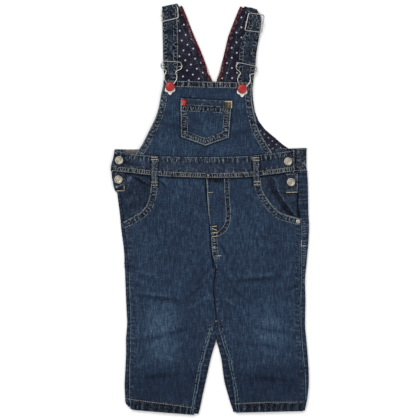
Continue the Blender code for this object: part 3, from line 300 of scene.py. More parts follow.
def wobble(along, scale, seed):
    """Smooth noise from -1 to 1 along a line."""
    count = 509
    lattice = np.random.default_rng(seed).uniform(-1.0, 1.0, count)
    cell = np.floor(along / scale).astype(int)
    share = smooth(along / scale - cell, 0.0, 1.0)
    return lattice[cell % count] * (1.0 - share) + lattice[(cell + 1) % count] * share


def mottle(x, y, scale, seed):
    """Smooth noise from -1 to 1 over a plane."""
    count = 127
    lattice = np.random.default_rng(seed).uniform(-1.0, 1.0, (count, count))
    columns, rows = np.floor(x / scale).astype(int), np.floor(y / scale).astype(int)
    across, up = smooth(x / scale - columns, 0.0, 1.0), smooth(y / scale - rows, 0.0, 1.0)
    near, far = columns % count, (columns + 1) % count
    low, high = (
        lattice[near, row % count] * (1.0 - across) + lattice[far, row % count] * across
        for row in (rows, rows + 1)
    )
    return low * (1.0 - up) + high * up


def hill(x, y, form):
    """A long soft ridge: 1 along its middle, fading out to its ends and sides."""
    turn = math.radians(form.angle)
    dx, dy = x - form.x, y - form.y
    along = (dx * math.cos(turn) + dy * math.sin(turn)) / form.length
    across = (dy * math.cos(turn) - dx * math.sin(turn)) / form.width
    return np.exp(-along * along - across * across)


# ---------------------------------------------------------------- outlines and paths


def merged_solid(node):
    """A bmesh of a CAD node, its loose triangles merged."""
    bm = bmesh.new()
    bm.from_mesh(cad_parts[node].data)
    bmesh.ops.remove_doubles(bm, verts=bm.verts, dist=2e-6)
    return bm


@functools.cache
def outline(node):
    """The longest loop round a piece's upper side in plan, with the cloth on its left."""
    bm = merged_solid(node)
    following = {}
    for face in bm.faces:
        for loop in face.loops if face.normal.z > 0.5 else ():
            if loop.link_loop_radial_next.face.normal.z <= 0.5:
                following[loop.vert.index] = loop.link_loop_next.vert.index
    places = np.array([vert.co[:2] for vert in bm.verts]) / MM
    bm.free()
    loops = []
    while following:
        start, index = next(iter(following.items()))
        following.pop(start)
        loops.append([start])
        while index in following:
            loops[-1].append(index)
            index = following.pop(index)
    return places[max(loops, key=len)]


def edge(node, start, end):
    """The stretch of a piece's outline from one point to another."""
    loop = outline(node)
    first, last = (int(np.argmin(np.linalg.norm(loop - place, axis=1))) for place in (start, end))
    return refit(node, np.roll(loop, -first, axis=0)[: (last - first) % len(loop) + 1])


def inset(points, distance):
    """A path moved to its left, with its corners mitred."""
    steps = np.diff(points, axis=0)
    steps = steps / np.maximum(np.linalg.norm(steps, axis=1, keepdims=True), 1e-9)
    sideways = np.stack([-steps[:, 1], steps[:, 0]], axis=1)
    after = np.vstack([sideways, sideways[-1:]])
    bisector = np.vstack([sideways[:1], sideways]) + after
    reach = np.maximum((bisector * after).sum(axis=1), 0.6)
    return points + bisector / reach[:, None] * distance


def run_along(points):
    """How far along a path each of its points lies."""
    return np.concatenate([[0.0], np.cumsum(np.linalg.norm(np.diff(points, axis=0), axis=1))])


def at_stations(points, along, stations):
    """A path's points at given distances along it."""
    return np.stack([np.interp(stations, along, points[:, axis]) for axis in (0, 1)], axis=1)


def trimmed(points, start, end):
    """A path with a length cut off at each of its ends."""
    along = run_along(points)
    inner = along[(along > start) & (along < along[-1] - end)]
    return at_stations(points, along, np.concatenate([[start], inner, [along[-1] - end]]))


def spaced(points, step):
    """A path's points, evenly spaced along it."""
    points = np.asarray(points, float)
    along = run_along(points)
    return at_stations(points, along, np.linspace(0.0, along[-1], max(2, round(along[-1] / step) + 1)))


def rounded(points, rounds=2):
    """A path with its corners cut off, for a row sewn in a curve."""
    points = np.asarray(points, float)
    for _ in range(rounds):
        near = points[:-1] * 0.75 + points[1:] * 0.25
        far = points[:-1] * 0.25 + points[1:] * 0.75
        middle = np.stack([near, far], axis=1).reshape(-1, 2)
        points = np.vstack([points[:1], middle[1:-1], points[-1:]])
    return points


def measured(x, y, path):
    """For each point, how far along a path it lies and how far to its left."""
    start, step = path[:-1], np.diff(path, axis=0)
    length = np.linalg.norm(step, axis=1)
    dx, dy = x[:, None] - start[None, :, 0], y[:, None] - start[None, :, 1]
    share = (dx * step[:, 0] + dy * step[:, 1]) / np.maximum(length * length, 1e-9)
    held = np.clip(share, 0.0, 1.0)
    off_x, off_y = dx - held * step[:, 0], dy - held * step[:, 1]
    near = np.argmin(off_x * off_x + off_y * off_y, axis=1)
    rows = np.arange(len(x))
    side = np.sign(step[near, 0] * dy[rows, near] - step[near, 1] * dx[rows, near])
    off = np.hypot(off_x[rows, near], off_y[rows, near]) * side
    past_start = (near == 0) & (share[rows, near] < 0.0)
    past_end = (near == len(step) - 1) & (share[rows, near] > 1.0)
    off[past_start | past_end] = 1e6
    return run_along(path)[near] + held[rows, near] * length[near], off


# ---------------------------------------------------------------- finished outlines


def side_seam(node, x, y, z):
    """How far the left side seam of the finished cloth lies from the solid's."""
    cut, fold, sewn = (np.interp(y, SIDE_SEAM_LEFT[:, 0], SIDE_SEAM_LEFT[:, column]) for column in (1, 2, 3))
    if node == "back_leg_left":
        share = np.clip(1.0 - (x - cut) / (fold - cut), 0.0, 1.0) * (x > cut - 6.0) * (z > 1.3)
    elif node == "pocket_facing_left":
        share = smooth(x, cut - 35.0, cut)
    else:
        share = smooth(x, cut - 25.0, cut) * (1.0 - smooth(y, -20.0, -14.0))
    return (sewn - cut) * share


def let_down(x, y, low_edge, seam, reach=15.0):
    """How far a bib's lower edge goes down to meet the waistband's seam."""
    low = np.interp(x, *np.array(low_edge).T)
    target = np.interp(x, *np.array(seam).T) + 0.35
    return (target - low) * (1.0 - smooth(y, low, low + reach))


def refit(node, points):
    """Points of a piece moved from its solid's outline to that of the sewn cloth."""
    moved = np.array(points, float)
    x, y = moved[:, 0].copy(), moved[:, 1].copy()
    z = moved[:, 2] if moved.shape[1] > 2 else np.full(len(moved), 9.0)
    across, along = moved[:, 0], moved[:, 1]
    if node in ("back_leg_left", "front_leg_left", "pocket_facing_left"):
        across += side_seam(node, x, y, z)
    if "leg" in node:
        inward = 1.0 if node.endswith("right") else -1.0
        crotch = smooth(y, -222.0, -184.0) * (1.0 - smooth(y, -174.0, -158.0))
        across += 2.1 * inward * crotch * (1.0 - smooth(np.abs(x - 7.0), 6.0, 26.0))
        if inward > 0.0:
            corner = np.exp(-((x + 121.5) ** 2 + (y + 288.1) ** 2) / 42.0)
            across += 2.6 * corner
            along += 3.6 * corner
    if node in ("side_placket_right", "back_leg_right"):
        hollow = np.interp(y, (18.0, 25.6, 28.3, 34.1, 45.0, 54.0), (0.0, 4.3, 3.0, 2.2, 0.6, 0.0))
        across += hollow * (1.0 - smooth(x, -142.0, -130.0))
    if node == "front_waistband":
        across += 5.0 * smooth(y, 58.0, 84.0) * (1.0 - smooth(x, -143.2, -128.0))
    if node == "back_waistband":
        across += 3.0 * smooth(y, 60.0, 86.0) * (1.0 - smooth(x, -142.0, -126.0))
    if node == "front_bib":
        along += let_down(x, y, ((-106.9, 80.5), (89.6, 82.0)), FRONT_BAND_TOP)
        along += smooth(y, 165.0, 184.0)
    if node in ("back_bib", "back_bib_lining"):
        along += let_down(x, y, ((-97.5, 90.0), (113.0, 91.0)), BACK_BAND_TOP)
    if node in ("strap_right", "strap_lining_right", "neck_binding_right"):
        across += 3.3 * (1.0 - smooth(y, 184.0, 200.0)) * smooth(x, -20.0, -4.0)
    if node in ("strap_left", "strap_lining_left", "neck_binding_left"):
        across -= 1.7 * (1.0 - smooth(y, 184.0, 200.0)) * (1.0 - smooth(x, 14.0, 30.0))
    if node == "pocket_tag":
        across += 1.3 * (1.0 - smooth(x, -42.0, -36.0))
        along -= 1.2 * smooth(y, 154.0, 160.0)
    if node in ("strap_left", "strap_lining_left"):
        across -= 4.2 * smooth(y, 276.0, 296.0) * smooth(x, 56.0, 74.0)
        along -= smooth(y, 272.0, 296.0) * (1.6 + 2.6 * smooth(x, 58.0, 74.0))
    if node.startswith(("strap_lining", "neck_binding")):
        along += 5.0 * smooth(y, 262.0, 287.0) * (1.0 - smooth(x, 50.0, 60.0))
    return moved


# ---------------------------------------------------------------- pieces


def add_object(name, data):
    """An object in the scene."""
    item = bpy.data.objects.new(name, data)
    bpy.context.scene.collection.objects.link(item)
    return item


def hand_over(piece, slot, *nodes):
    """Gives a piece its body and hides the nodes it stands for. slot is not used."""
    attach(piece, BODY)
    if nodes:
        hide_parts(*nodes)


def lay_cloth(piece, slot, node):
    """Hands a cloth piece over to its body, hiding its node."""
    hand_over(piece, slot, node)


def finish_fitting(bm, name, material, slot, *nodes, sharp=True):
    """A fitting's piece from its bmesh."""
    mesh = bpy.data.meshes.new(name)
    bm.to_mesh(mesh)
    bm.free()
    mesh.shade_smooth()
    if sharp:
        mesh.set_sharp_from_angle(angle=SHARP_ANGLE)
    mesh.materials.append(material)
    hand_over(add_object(name, mesh), slot, *nodes)


def ray_tree(mesh, places=None):
    """A mesh's faces, for rays. places are its vertices' where they aren't in the mesh yet."""
    if places is None:
        places = [vert.co[:] for vert in mesh.vertices]
    return BVHTree.FromPolygons(places, [tuple(face.vertices) for face in mesh.polygons])


# ---------------------------------------------------------------- cloth skins

TREES = {name: ray_tree(piece.data) for name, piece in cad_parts.items()}
SKINS = {}


def covered(points, own, direction):
    """Which points, in metres, have another piece of the overalls close over them."""
    found = np.zeros(len(points), bool)
    for name, tree in TREES.items():
        if name == own:
            continue
        low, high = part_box(name)
        near = (points[:, 0] > low.x) & (points[:, 0] < high.x)
        near &= (points[:, 1] > low.y) & (points[:, 1] < high.y) & ~found
        near &= points[:, 2] < high.z if direction.z > 0.0 else points[:, 2] > low.z
        for index in np.flatnonzero(near):
            start = Vector(points[index]) + direction * 0.05 * MM
            found[index] = tree.ray_cast(start, direction, COVER_REACH * MM)[0] is not None
    return found


def sort_faces(bm, node):
    """Marks each face as hidden, seen from the front or seen from behind."""
    bm.verts.index_update()
    for facing, mark in ((1.0, FRONT), (-1.0, BACK)):
        points, owners = [], []
        for face in bm.faces:
            if face.normal.z * facing > -0.1:
                middle = face.calc_center_median()
                points += [corner.co.lerp(middle, 0.2) for corner in face.verts] + [middle]
                owners += [face] * (len(face.verts) + 1)
        for face, under in zip(owners, covered(np.array(points), node, UP * facing)):
            if not under and face.material_index != FRONT:
                face.material_index = mark


def refine(bm, front_step):
    """Halves long edges until each side's faces are as fine as they are to be."""
    steps = {HIDDEN: 1.0, FRONT: front_step, BACK: BACK_STEP * MM}
    while True:
        long_edges = [
            item for item in bm.edges
            if item.calc_length() > min(steps[face.material_index] for face in item.link_faces)
        ]
        if not long_edges:
            return
        bmesh.ops.subdivide_edges(bm, edges=long_edges, cuts=1, use_grid_fill=True)


def round_rim(bm, radius):
    """Rounds the sharp edges round a piece's upper side."""
    rim = [
        item for item in bm.edges
        if item.is_convex and item.calc_face_angle() > RIM_ANGLE
        and max(face.normal.z for face in item.link_faces) > 0.7
    ]
    bmesh.ops.bevel(
        bm, geom=rim, offset=radius, offset_type="OFFSET", segments=2, profile=0.5,
        affect="EDGES", clamp_overlap=False, material=-1,
    )


def neighbour_mean(values, pairs):
    """The mean of each vertex's neighbours."""
    ends = np.concatenate([pairs[:, 0], pairs[:, 1]])
    others = np.concatenate([pairs[:, 1], pairs[:, 0]])
    count = np.maximum(np.bincount(ends, minlength=len(values)), 1)
    columns = np.atleast_2d(values.T)
    means = [np.bincount(ends, weights=column[others], minlength=len(values)) / count for column in columns]
    return np.stack(means, axis=1).reshape(values.shape)


def pinned_vertices(bm):
    """Vertices on rims and hem steps, which smoothing leaves in place."""
    pinned = np.zeros(len(bm.verts), bool)
    for item in bm.edges:
        if item.is_manifold:
            angle = item.calc_face_angle()
            level = min(face.normal.z for face in item.link_faces) > 0.5
            if angle > RIM_ANGLE or (level and angle > math.radians(15.0)):
                pinned[[vert.index for vert in item.verts]] = True
    return pinned


class Skin:
    """A cloth piece's fine mesh, as arrays of points, normals and edges."""

    def __init__(self, node, step, rim):
        self.node = node
        bm = merged_solid(node)
        bmesh.ops.join_triangles(
            bm, faces=bm.faces,
            angle_face_threshold=math.radians(12.0), angle_shape_threshold=math.radians(70.0),
        )
        for face in bm.faces:
            face.material_index = HIDDEN
        round_rim(bm, rim)
        sort_faces(bm, node)
        refine(bm, step)
        bm.verts.index_update()
        bm.verts.ensure_lookup_table()
        bm.normal_update()
        pinned = pinned_vertices(bm)
        self.mesh = bpy.data.meshes.new(f"{node}_cloth")
        bm.to_mesh(self.mesh)
        bm.free()
        self.points = self.read("vertices", "co", 3) / MM
        self.pairs = self.read("edges", "vertices", 2, np.int32)
        self.smooth_facets(~pinned & (self.points[:, 2] > 0.05))
        self.find_open_sides(self.read("vertices", "normal", 3)[:, 2])
        self.points = refit(node, self.points)
        self.height, self.pale, self.deep, self.rubbed = np.zeros((4, len(self.points)))

    def read(self, part, field, width, kind=np.float32):
        items = getattr(self.mesh, part)
        values = np.zeros(len(items) * width, kind)
        items.foreach_get(field, values)
        return values.reshape(-1, width).astype(int if kind == np.int32 else float)

    def write_points(self):
        self.mesh.vertices.foreach_set("co", (self.points * MM).astype(np.float32).ravel())
        self.mesh.update()

    @property
    def plan(self):
        return self.points[:, 0], self.points[:, 1]

    def smooth_facets(self, free):
        """Takes the solid's facets out of the cloth, but keeps its rims and the floor."""
        for _ in range(SMOOTHING_ROUNDS):
            mean = neighbour_mean(self.points, self.pairs)
            self.points[free] += (mean[free] - self.points[free]) * 0.5
        self.write_points()

    def find_open_sides(self, slopes):
        """How far each point may move: 1 where nothing lies on it, 0 where something does."""
        places = self.points * MM
        self.front, self.back = (slopes > 0.3).astype(float), (slopes < -0.5).astype(float)
        for side, direction in ((self.front, UP), (self.back, -UP)):
            facing = side > 0.0
            side[facing] = ~covered(places[facing], self.node, direction)
            for _ in range(2):
                side[:] = np.minimum(side, neighbour_mean(side, self.pairs))

    def beside(self, path, start, end):
        """The points to a path's left: which, how far along and off it, and how much inside."""
        x, y = self.plan
        path = np.asarray(path)
        low, high = path.min(axis=0) - end - 2.0, path.max(axis=0) + end + 2.0
        near = np.flatnonzero((x > low[0]) & (y > low[1]) & (x < high[0]) & (y < high[1]))
        along, off = measured(x[near], y[near], path)
        soft = min(1.2, (end - start) * 0.4) * 0.5
        inside = smooth(off, start - soft, start + soft) * (1.0 - smooth(off, end - soft, end + soft))
        return near, along, off, inside

    def pucker(self, band):
        """Cloth drawn up along a seam: narrow ridges worn pale, and broad hollows painted dark, partly unworn
        indigo and partly painted shade.
        """
        near, along, off, inside = self.beside(band.path, band.near, band.far)
        seed = (len(self.points) + int(abs(np.asarray(band.path)[0]).sum() * 10.0)) % 9973
        shifted = along + band.slant * off
        phase = shifted / band.pitch + 0.45 * wobble(shifted, band.pitch * 1.7, seed)
        wave = np.cos(2.0 * math.pi * phase)
        strength = 0.58 + 0.42 * wobble(shifted, band.pitch * 1.3, seed + 1)
        self.height[near] += band.height * wave * strength * inside
        self.pale[near] += band.ridge * np.maximum(wave, 0.0) ** 3.0 * strength * inside
        self.deep[near] += band.hollow * (1.0 - smooth(wave, 0.1, 0.8)) * (0.5 + 0.5 * strength) * inside
        self.rubbed[near] = np.maximum(self.rubbed[near], band.rubbed * inside)

    def shade(self, path, start, end, pale, deep, rubbed):
        """An even tone along a path."""
        near, along, off, inside = self.beside(path, start, end)
        self.pale[near] += pale * inside
        self.deep[near] += deep * inside
        self.rubbed[near] = np.maximum(self.rubbed[near], rubbed * inside)

    def wear(self, path, width, pale):
        """Cloth worn pale close to a path, in dashes."""
        path = np.asarray(path)
        along, off = measured(*self.plan, path)
        strength = 0.8 + 0.4 * wobble(along, 3.4, int(abs(path[-1]).sum() * 7.0) % 9973)
        self.pale += pale * strength * (1.0 - smooth(np.abs(off), width * 0.4, width))

    def tone(self, amount, pale=1.0, deep=1.0):
        """Paler where the amount is above 0, darker where it is below."""
        self.pale += pale * np.maximum(amount, 0.0)
        self.deep += deep * np.maximum(-amount, 0.0)

    def crease(self, creases, side):
        for form in creases:
            rise = form.amount * hill(*self.plan, form) * side
            self.height += rise
            # Painted light and shade of the crease: paler on its ridge, darker in its trough
            self.tone(rise, 0.80, 1.15)

    def rumple(self, amount, scale, seed, tone):
        """Small uneven rises all over the cloth; tone paints them paler on their tops and darker in their
        dips, a painted light and shade.
        """
        x, y = self.plan
        rises = mottle(x + 0.35 * y, y - 0.2 * x, scale, seed) + 0.5 * mottle(x, y, scale * 0.45, seed + 1)
        self.height += amount * rises
        self.tone(rises, tone, tone)

    def wash(self):
        """Fades and dark stretches of the whole garment, as one wash gave them."""
        for fade in FADES:
            self.tone(fade.amount * hill(*self.plan, fade))

    def rub(self, amount):
        self.rubbed = np.maximum(self.rubbed, amount)

    def shadow_buttons(self):
        """A dark line on the cloth round the foot of each button."""
        x, y = self.plan
        for name in ("right_upper", "right_lower", "left_upper", "left_lower"):
            centre, radius, height = round_place(f"side_button_{name}")
            away = np.hypot(x - centre[0] / MM, y - centre[1] / MM)
            self.deep += 0.9 * (1.0 - smooth(away, radius / MM - 0.2, radius / MM + 1.5)) * self.front

    def shadow_waist(self):
        """Dark lines on the cloth below the waistband and beside the belt loops."""
        self.shade(edge("front_waistband", *BAND_BOTTOM), -2.4, 0.2, 0.0, 0.5, 0.0)
        x, y = self.plan
        for side in SIDES:
            low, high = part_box(f"belt_loop_{side}")
            away = np.maximum(low.x / MM - x, x - high.x / MM)
            self.deep += 0.8 * (1.0 - smooth(away, 0.4, 2.2)) * (away > -1.0) * (y > low.y / MM - 1.0)

    def settle(self):
        """Moves the open points by their heights, without thinning the wall too far."""
        rise = np.clip(self.height, -(self.wall() - WALL_LEFT), RISE_LIMIT)
        self.points[:, 2] += rise * self.front
        self.points[:, 2] += np.clip(-self.height, 0.0, 0.4) * self.back
        self.points[:, 2] = np.maximum(self.points[:, 2], 0.0)
        self.write_points()

    def wall(self):
        """Thickness of the cloth under its open front points."""
        tree = ray_tree(self.mesh, self.points.tolist())
        wall = np.full(len(self.points), 1.2)
        for index in np.flatnonzero((self.front > 0.0) & (self.height < -0.1)):
            hit = tree.ray_cast(Vector(self.points[index]) - UP * 0.02, -UP, 4.0)
            if hit[3] is not None:
                wall[index] = hit[3]
        return np.maximum(wall, WALL_LEFT)

    def finish(self, materials, inside):
        """The piece's object. inside marks the faces that take the second material."""
        for name in ("pale", "deep", "rubbed"):
            attribute = self.mesh.attributes.new(name, "FLOAT", "POINT")
            attribute.data.foreach_set("value", np.clip(getattr(self, name), 0.0, 1.0).astype(np.float32))
        marks = np.zeros(len(self.mesh.polygons), np.int32)
        if inside:
            marks[inside(self.read("polygons", "center", 3) / MM, self.read("polygons", "normal", 3))] = 1
        for material in materials:
            self.mesh.materials.append(material)
        self.mesh.polygons.foreach_set("material_index", marks)
        self.mesh.shade_smooth()
        self.mesh.set_sharp_from_angle(angle=SHARP_ANGLE)
        SKINS[self.node] = ray_tree(self.mesh)
        return add_object(self.mesh.name, self.mesh)


def make_cloth(
    node, materials, slot="denim", fine=1.0, bands=(), wears=(), rumple=None, washed=True,
    behind=False, touch=None, inside=None,
):
    """A cloth piece with its puckers, worn edges and creases, and a last touch of its own.

    fine is the share of the usual skin step.
    """
    look = bpy.context.scene.overalls_cloth
    skin = Skin(node, look.step * fine, look.rim * (0.6 if fine < 0.5 else 1.0))
    for band in bands:
        skin.pucker(band)
    for path, width, pale in wears:
        skin.wear(path, width, pale)
    if rumple:
        skin.rumple(*rumple)
    skin.crease(*((BACK_CREASES, skin.back) if behind else (FRONT_CREASES, skin.front)))
    if washed:
        skin.wash()
    if touch:
        touch(skin)
    skin.settle()
    piece = skin.finish(materials, inside)
    if node in CUTS:
        lay_cloth(piece, slot, node)
    else:
        hand_over(piece, slot, node)
    return piece


# ---------------------------------------------------------------- materials


def add_node(tree, kind, inputs=None, **settings):
    """A node with its settings, and its inputs set to values or linked to sockets."""
    node = tree.nodes.new(kind)
    for name, value in settings.items():
        setattr(node, name, value)
    for name, value in (inputs or {}).items():
        if isinstance(value, bpy.types.NodeSocket):
            tree.links.new(value, node.inputs[name])
        else:
            node.inputs[name].default_value = value
    return node


class Graph:
    """A material's node tree, with its Principled shader."""

    def __init__(self, name, roughness, metallic=0.0, specular=0.5):
        self.material = bpy.data.materials.new(name)
        self.material.use_nodes = True
        self.tree = self.material.node_tree
        self.add = functools.partial(add_node, self.tree)
        self.shader = self.tree.nodes["Principled BSDF"]
        self.shader.inputs["Roughness"].default_value = roughness
        self.shader.inputs["Metallic"].default_value = metallic
        self.shader.inputs["Specular IOR Level"].default_value = specular
        self.place = self.add("ShaderNodeTexCoord").outputs["Object"]

    def math(self, operation, *values):
        return self.add("ShaderNodeMath", dict(enumerate(values)), operation=operation).outputs[0]

    def vector(self, operation, *values, output=0):
        return self.add("ShaderNodeVectorMath", dict(enumerate(values)), operation=operation).outputs[output]

    def total(self, value, *parts):
        """value, and each part's socket times its factor."""
        for socket, factor in parts:
            value = self.math("MULTIPLY_ADD", socket, factor, value)
        return value

    def noise(self, scale, detail=2.0, stretch=(1.0, 1.0, 1.0)):
        """Noise around 0, its scale in grains to the metre."""
        mapping = self.add("ShaderNodeMapping", {"Vector": self.place, "Scale": stretch})
        inputs = {"Vector": mapping.outputs[0], "Scale": scale, "Detail": detail}
        return self.math("SUBTRACT", self.add("ShaderNodeTexNoise", inputs).outputs["Fac"], 0.5)

    def attribute(self, name):
        return self.add("ShaderNodeAttribute", attribute_name=name).outputs["Fac"]

    def ramp(self, value, *stops):
        node = self.add("ShaderNodeValToRGB", {"Fac": value})
        elements = node.color_ramp.elements
        while len(elements) < len(stops):
            elements.new(0.5)
        for element, (place, tone) in zip(elements, stops):
            element.position = place
            element.color = (*tone, 1.0)
        return node.outputs["Color"]

    def bump(self, height, distance, strength, under=None):
        inputs = {"Height": height, "Distance": distance, "Strength": strength}
        if under is not None:
            inputs["Normal"] = under
        return self.add("ShaderNodeBump", inputs).outputs["Normal"]

    def paint(self, tone, normal, roughness=None):
        for name, value in (("Base Color", tone), ("Normal", normal), ("Roughness", roughness)):
            if value is not None:
                self.tree.links.new(value, self.shader.inputs[name])
        return self.material


def blend(first, second, share):
    return tuple(a + (b - a) * share for a, b in zip(first, second))


def darker(tone, share):
    return blend(tone, (0.0, 0.0, 0.0), share)


def denim(name, lighter=0.0):
    """Washed indigo twill. It reads the cloth's pale, deep and rubbed attributes."""
    look = bpy.context.scene.overalls_cloth
    graph = Graph(name, 0.9, specular=0.04)
    warp = graph.noise(560.0, 3.0, (1.0, 0.16, 1.0))
    weft = graph.noise(560.0, 2.0, (0.2, 1.0, 1.0))
    grain = graph.noise(800.0, 2.0)
    slub = graph.noise(300.0, 3.0, (1.0, 0.35, 1.0))
    cloud = graph.noise(22.0, 3.0, (1.0, 0.6, 1.0))
    patch = graph.noise(90.0, 3.0)
    rubbed = graph.attribute("rubbed")
    crinkle = graph.math("MULTIPLY", graph.noise(360.0, 3.0), rubbed)
    # pale and deep hold the wear and the wash, and also painted light and shade: shadows, and the tones of
    # creases, puckers and rises
    value = graph.total(
        lighter + 0.45, (warp, 0.60), (weft, 0.26), (grain, 0.58), (slub, 0.15), (cloud, 0.14), (patch, 0.10),
        (crinkle, 2.2), (graph.attribute("pale"), 0.55), (graph.attribute("deep"), -0.45),
    )
    tone = graph.ramp(
        value, (0.0, look.raw), (0.22, blend(look.raw, look.indigo, 0.42)), (0.45, look.indigo),
        (0.68, look.washed), (0.86, blend(look.washed, look.faded, 0.35)), (1.0, look.faded),
    )
    greyed = graph.total(1.0, (rubbed, -0.38))
    tone = graph.add("ShaderNodeHueSaturation", {"Color": tone, "Saturation": greyed}).outputs[0]
    lean = (0.0, 0.0, math.radians(32.0))
    turned_place = graph.add("ShaderNodeMapping", {"Vector": graph.place, "Rotation": lean})
    wave = {"Vector": turned_place.outputs[0], "Scale": 260.0, "Distortion": 1.5, "Detail": 1.0}
    twill = graph.add("ShaderNodeTexWave", wave, bands_direction="Y").outputs["Fac"]
    normal = graph.bump(warp, 0.0005, 0.6, graph.bump(twill, 0.00008, 0.5))
    return graph.paint(tone, graph.bump(patch, 0.0008, 0.5, normal))


def dotted_lining(name, lean, anchor, spacing=1.0, width=1.0, dim=1.0):
    """Navy cotton with small pale dots.

    lean is how far its rows lean anticlockwise, in degrees, and anchor the
    place of one dot. spacing and width are shares of the usual ones.
    """
    look = bpy.context.scene.overalls_cloth
    graph = Graph(name, 0.85, specular=0.04)
    grain = {"Vector": graph.place, "Scale": 60.0, "Detail": 1.0}
    drift = graph.add("ShaderNodeTexNoise", grain).outputs["Color"]
    stray = 0.0012
    drift = graph.vector("MULTIPLY_ADD", drift, (stray,) * 3, (-stray / 2.0,) * 3)
    place = graph.vector("ADD", graph.place, drift)
    turn = math.radians(45.0 - lean)
    pitch = look.dot_spacing * spacing
    across, up = anchor[0] * MM / pitch, anchor[1] * MM / pitch
    start = (
        0.5 - (across * math.cos(turn) - up * math.sin(turn)),
        0.5 - (across * math.sin(turn) + up * math.cos(turn)),
        0.0,
    )
    mapping = graph.add(
        "ShaderNodeMapping",
        {
            "Vector": place, "Scale": (1.0 / pitch, 1.0 / pitch, 0.0),
            "Rotation": (0.0, 0.0, turn), "Location": start,
        },
    )
    middle = graph.vector("SUBTRACT", graph.vector("FRACTION", mapping.outputs[0]), (0.5, 0.5, 0.0))
    away = graph.vector("LENGTH", graph.vector("MULTIPLY", middle, (1.0, 1.0, 0.0)), output=1)
    radius = look.dot_size * width / pitch / 2.0
    limits = {"Value": away, "From Min": radius * 0.7, "From Max": radius * 1.2, "To Min": dim, "To Max": 0.0}
    dot = graph.add("ShaderNodeMapRange", limits, interpolation_type="SMOOTHSTEP").outputs[0]
    weave = graph.noise(900.0, 2.0)
    shade = graph.total(
        0.5, (weave, 1.4), (graph.noise(150.0, 3.0), 0.7), (graph.attribute("pale"), 0.5),
        (graph.attribute("deep"), -0.5),
    )
    ground = graph.ramp(
        shade, (0.1, darker(look.navy, 0.6)), (0.5, look.navy), (1.0, blend(look.navy, look.dots, 0.10))
    )
    tone = graph.add("ShaderNodeMix", {"Factor": dot}, data_type="RGBA")
    first, second = (socket for socket in tone.inputs if socket.type == "RGBA")
    graph.tree.links.new(ground, first)
    second.default_value = (*look.dots, 1.0)
    result = next(socket for socket in tone.outputs if socket.type == "RGBA")
    return graph.paint(result, graph.bump(weave, 0.0003, 0.5))


def woven_tape(name, ground, mark=0.35):
    """A plain narrow fabric: ribs across it and a little wear."""
    graph = Graph(name, 0.85, specular=0.06)
    weave = graph.noise(700.0, 2.0, (1.0, 0.5, 1.0))
    value = graph.total(
        0.5, (weave, 0.8), (graph.noise(160.0, 3.0), 0.8), (graph.attribute("pale"), 0.6),
        (graph.attribute("deep"), -0.5),
    )
    light = blend(ground, (0.9, 0.9, 0.9), mark * 0.35)
    tone = graph.ramp(value, (0.15, darker(ground, mark)), (0.5, ground), (0.95, light))
    return graph.paint(tone, graph.bump(weave, 0.0003, 0.6))


def sewing_thread(name, ground):
    """Twisted cotton thread, rubbed in places."""
    graph = Graph(name, 0.8, specular=0.08)
    fibre = graph.noise(2400.0, 1.0)
    value = graph.total(0.5, (graph.noise(110.0, 3.0), 1.3), (fibre, 0.4))
    light = blend(ground, (0.8, 0.8, 0.78), 0.14)
    tone = graph.ramp(value, (0.15, darker(ground, 0.5)), (0.5, ground), (0.9, light))
    return graph.paint(tone, graph.bump(fibre, 0.0002, 0.6))


def plated_metal(name, ground, rough, soil=0.3):
    """Bright plated metal, duller in patches."""
    graph = Graph(name, rough, metallic=1.0)
    patch, fine = graph.noise(300.0, 3.0), graph.noise(1800.0, 2.0)
    soiled = blend(ground, (0.1, 0.09, 0.07), soil)
    tone = graph.ramp(graph.total(0.5, (patch, 1.4)), (0.2, soiled), (0.6, ground))
    return graph.paint(tone, graph.bump(fine, 0.00006, 0.4), graph.total(rough, (patch, 0.25), (fine, 0.15)))


def enamel(name, ground):
    """Glossy enamel, a little uneven."""
    graph = Graph(name, 0.30, specular=0.3)
    graph.shader.inputs["Coat Weight"].default_value = 0.15
    graph.shader.inputs["Coat Roughness"].default_value = 0.08
    patch = graph.noise(260.0, 3.0)
    light = blend(ground, (1.0, 1.0, 1.0), 0.08)
    tone = graph.ramp(graph.total(0.5, (patch, 1.2)), (0.1, darker(ground, 0.3)), (0.6, ground), (1.0, light))
    return graph.paint(tone, graph.bump(patch, 0.0004, 0.25))


# ---------------------------------------------------------------- edges of the pieces


def leg_paths(side):
    """The edges of a front leg, by name."""
    return {name: edge(f"front_leg_{side}", *ends) for name, ends in LEG_EDGES[side].items()}


def upper_fly(paths):
    """The upper half of the fly's edge."""
    return paths["fly"][: len(paths["fly"]) // 2]


def bib_edges():
    """The front bib's right side, left side and top."""
    corners = ((-106.9, 80.5), (89.6, 82.0), (60.9, 182.0), (-66.7, 185.2))
    return [edge("front_bib", corners[start], corners[end]) for start, end in ((3, 0), (1, 2), (2, 3))]


def pocket_edges():
    """The bib pocket's sides and point, and its top."""
    corners = ((-42.3, 160.2), (31.2, 156.3))
    return edge("bib_pocket", *corners), edge("bib_pocket", *corners[::-1])


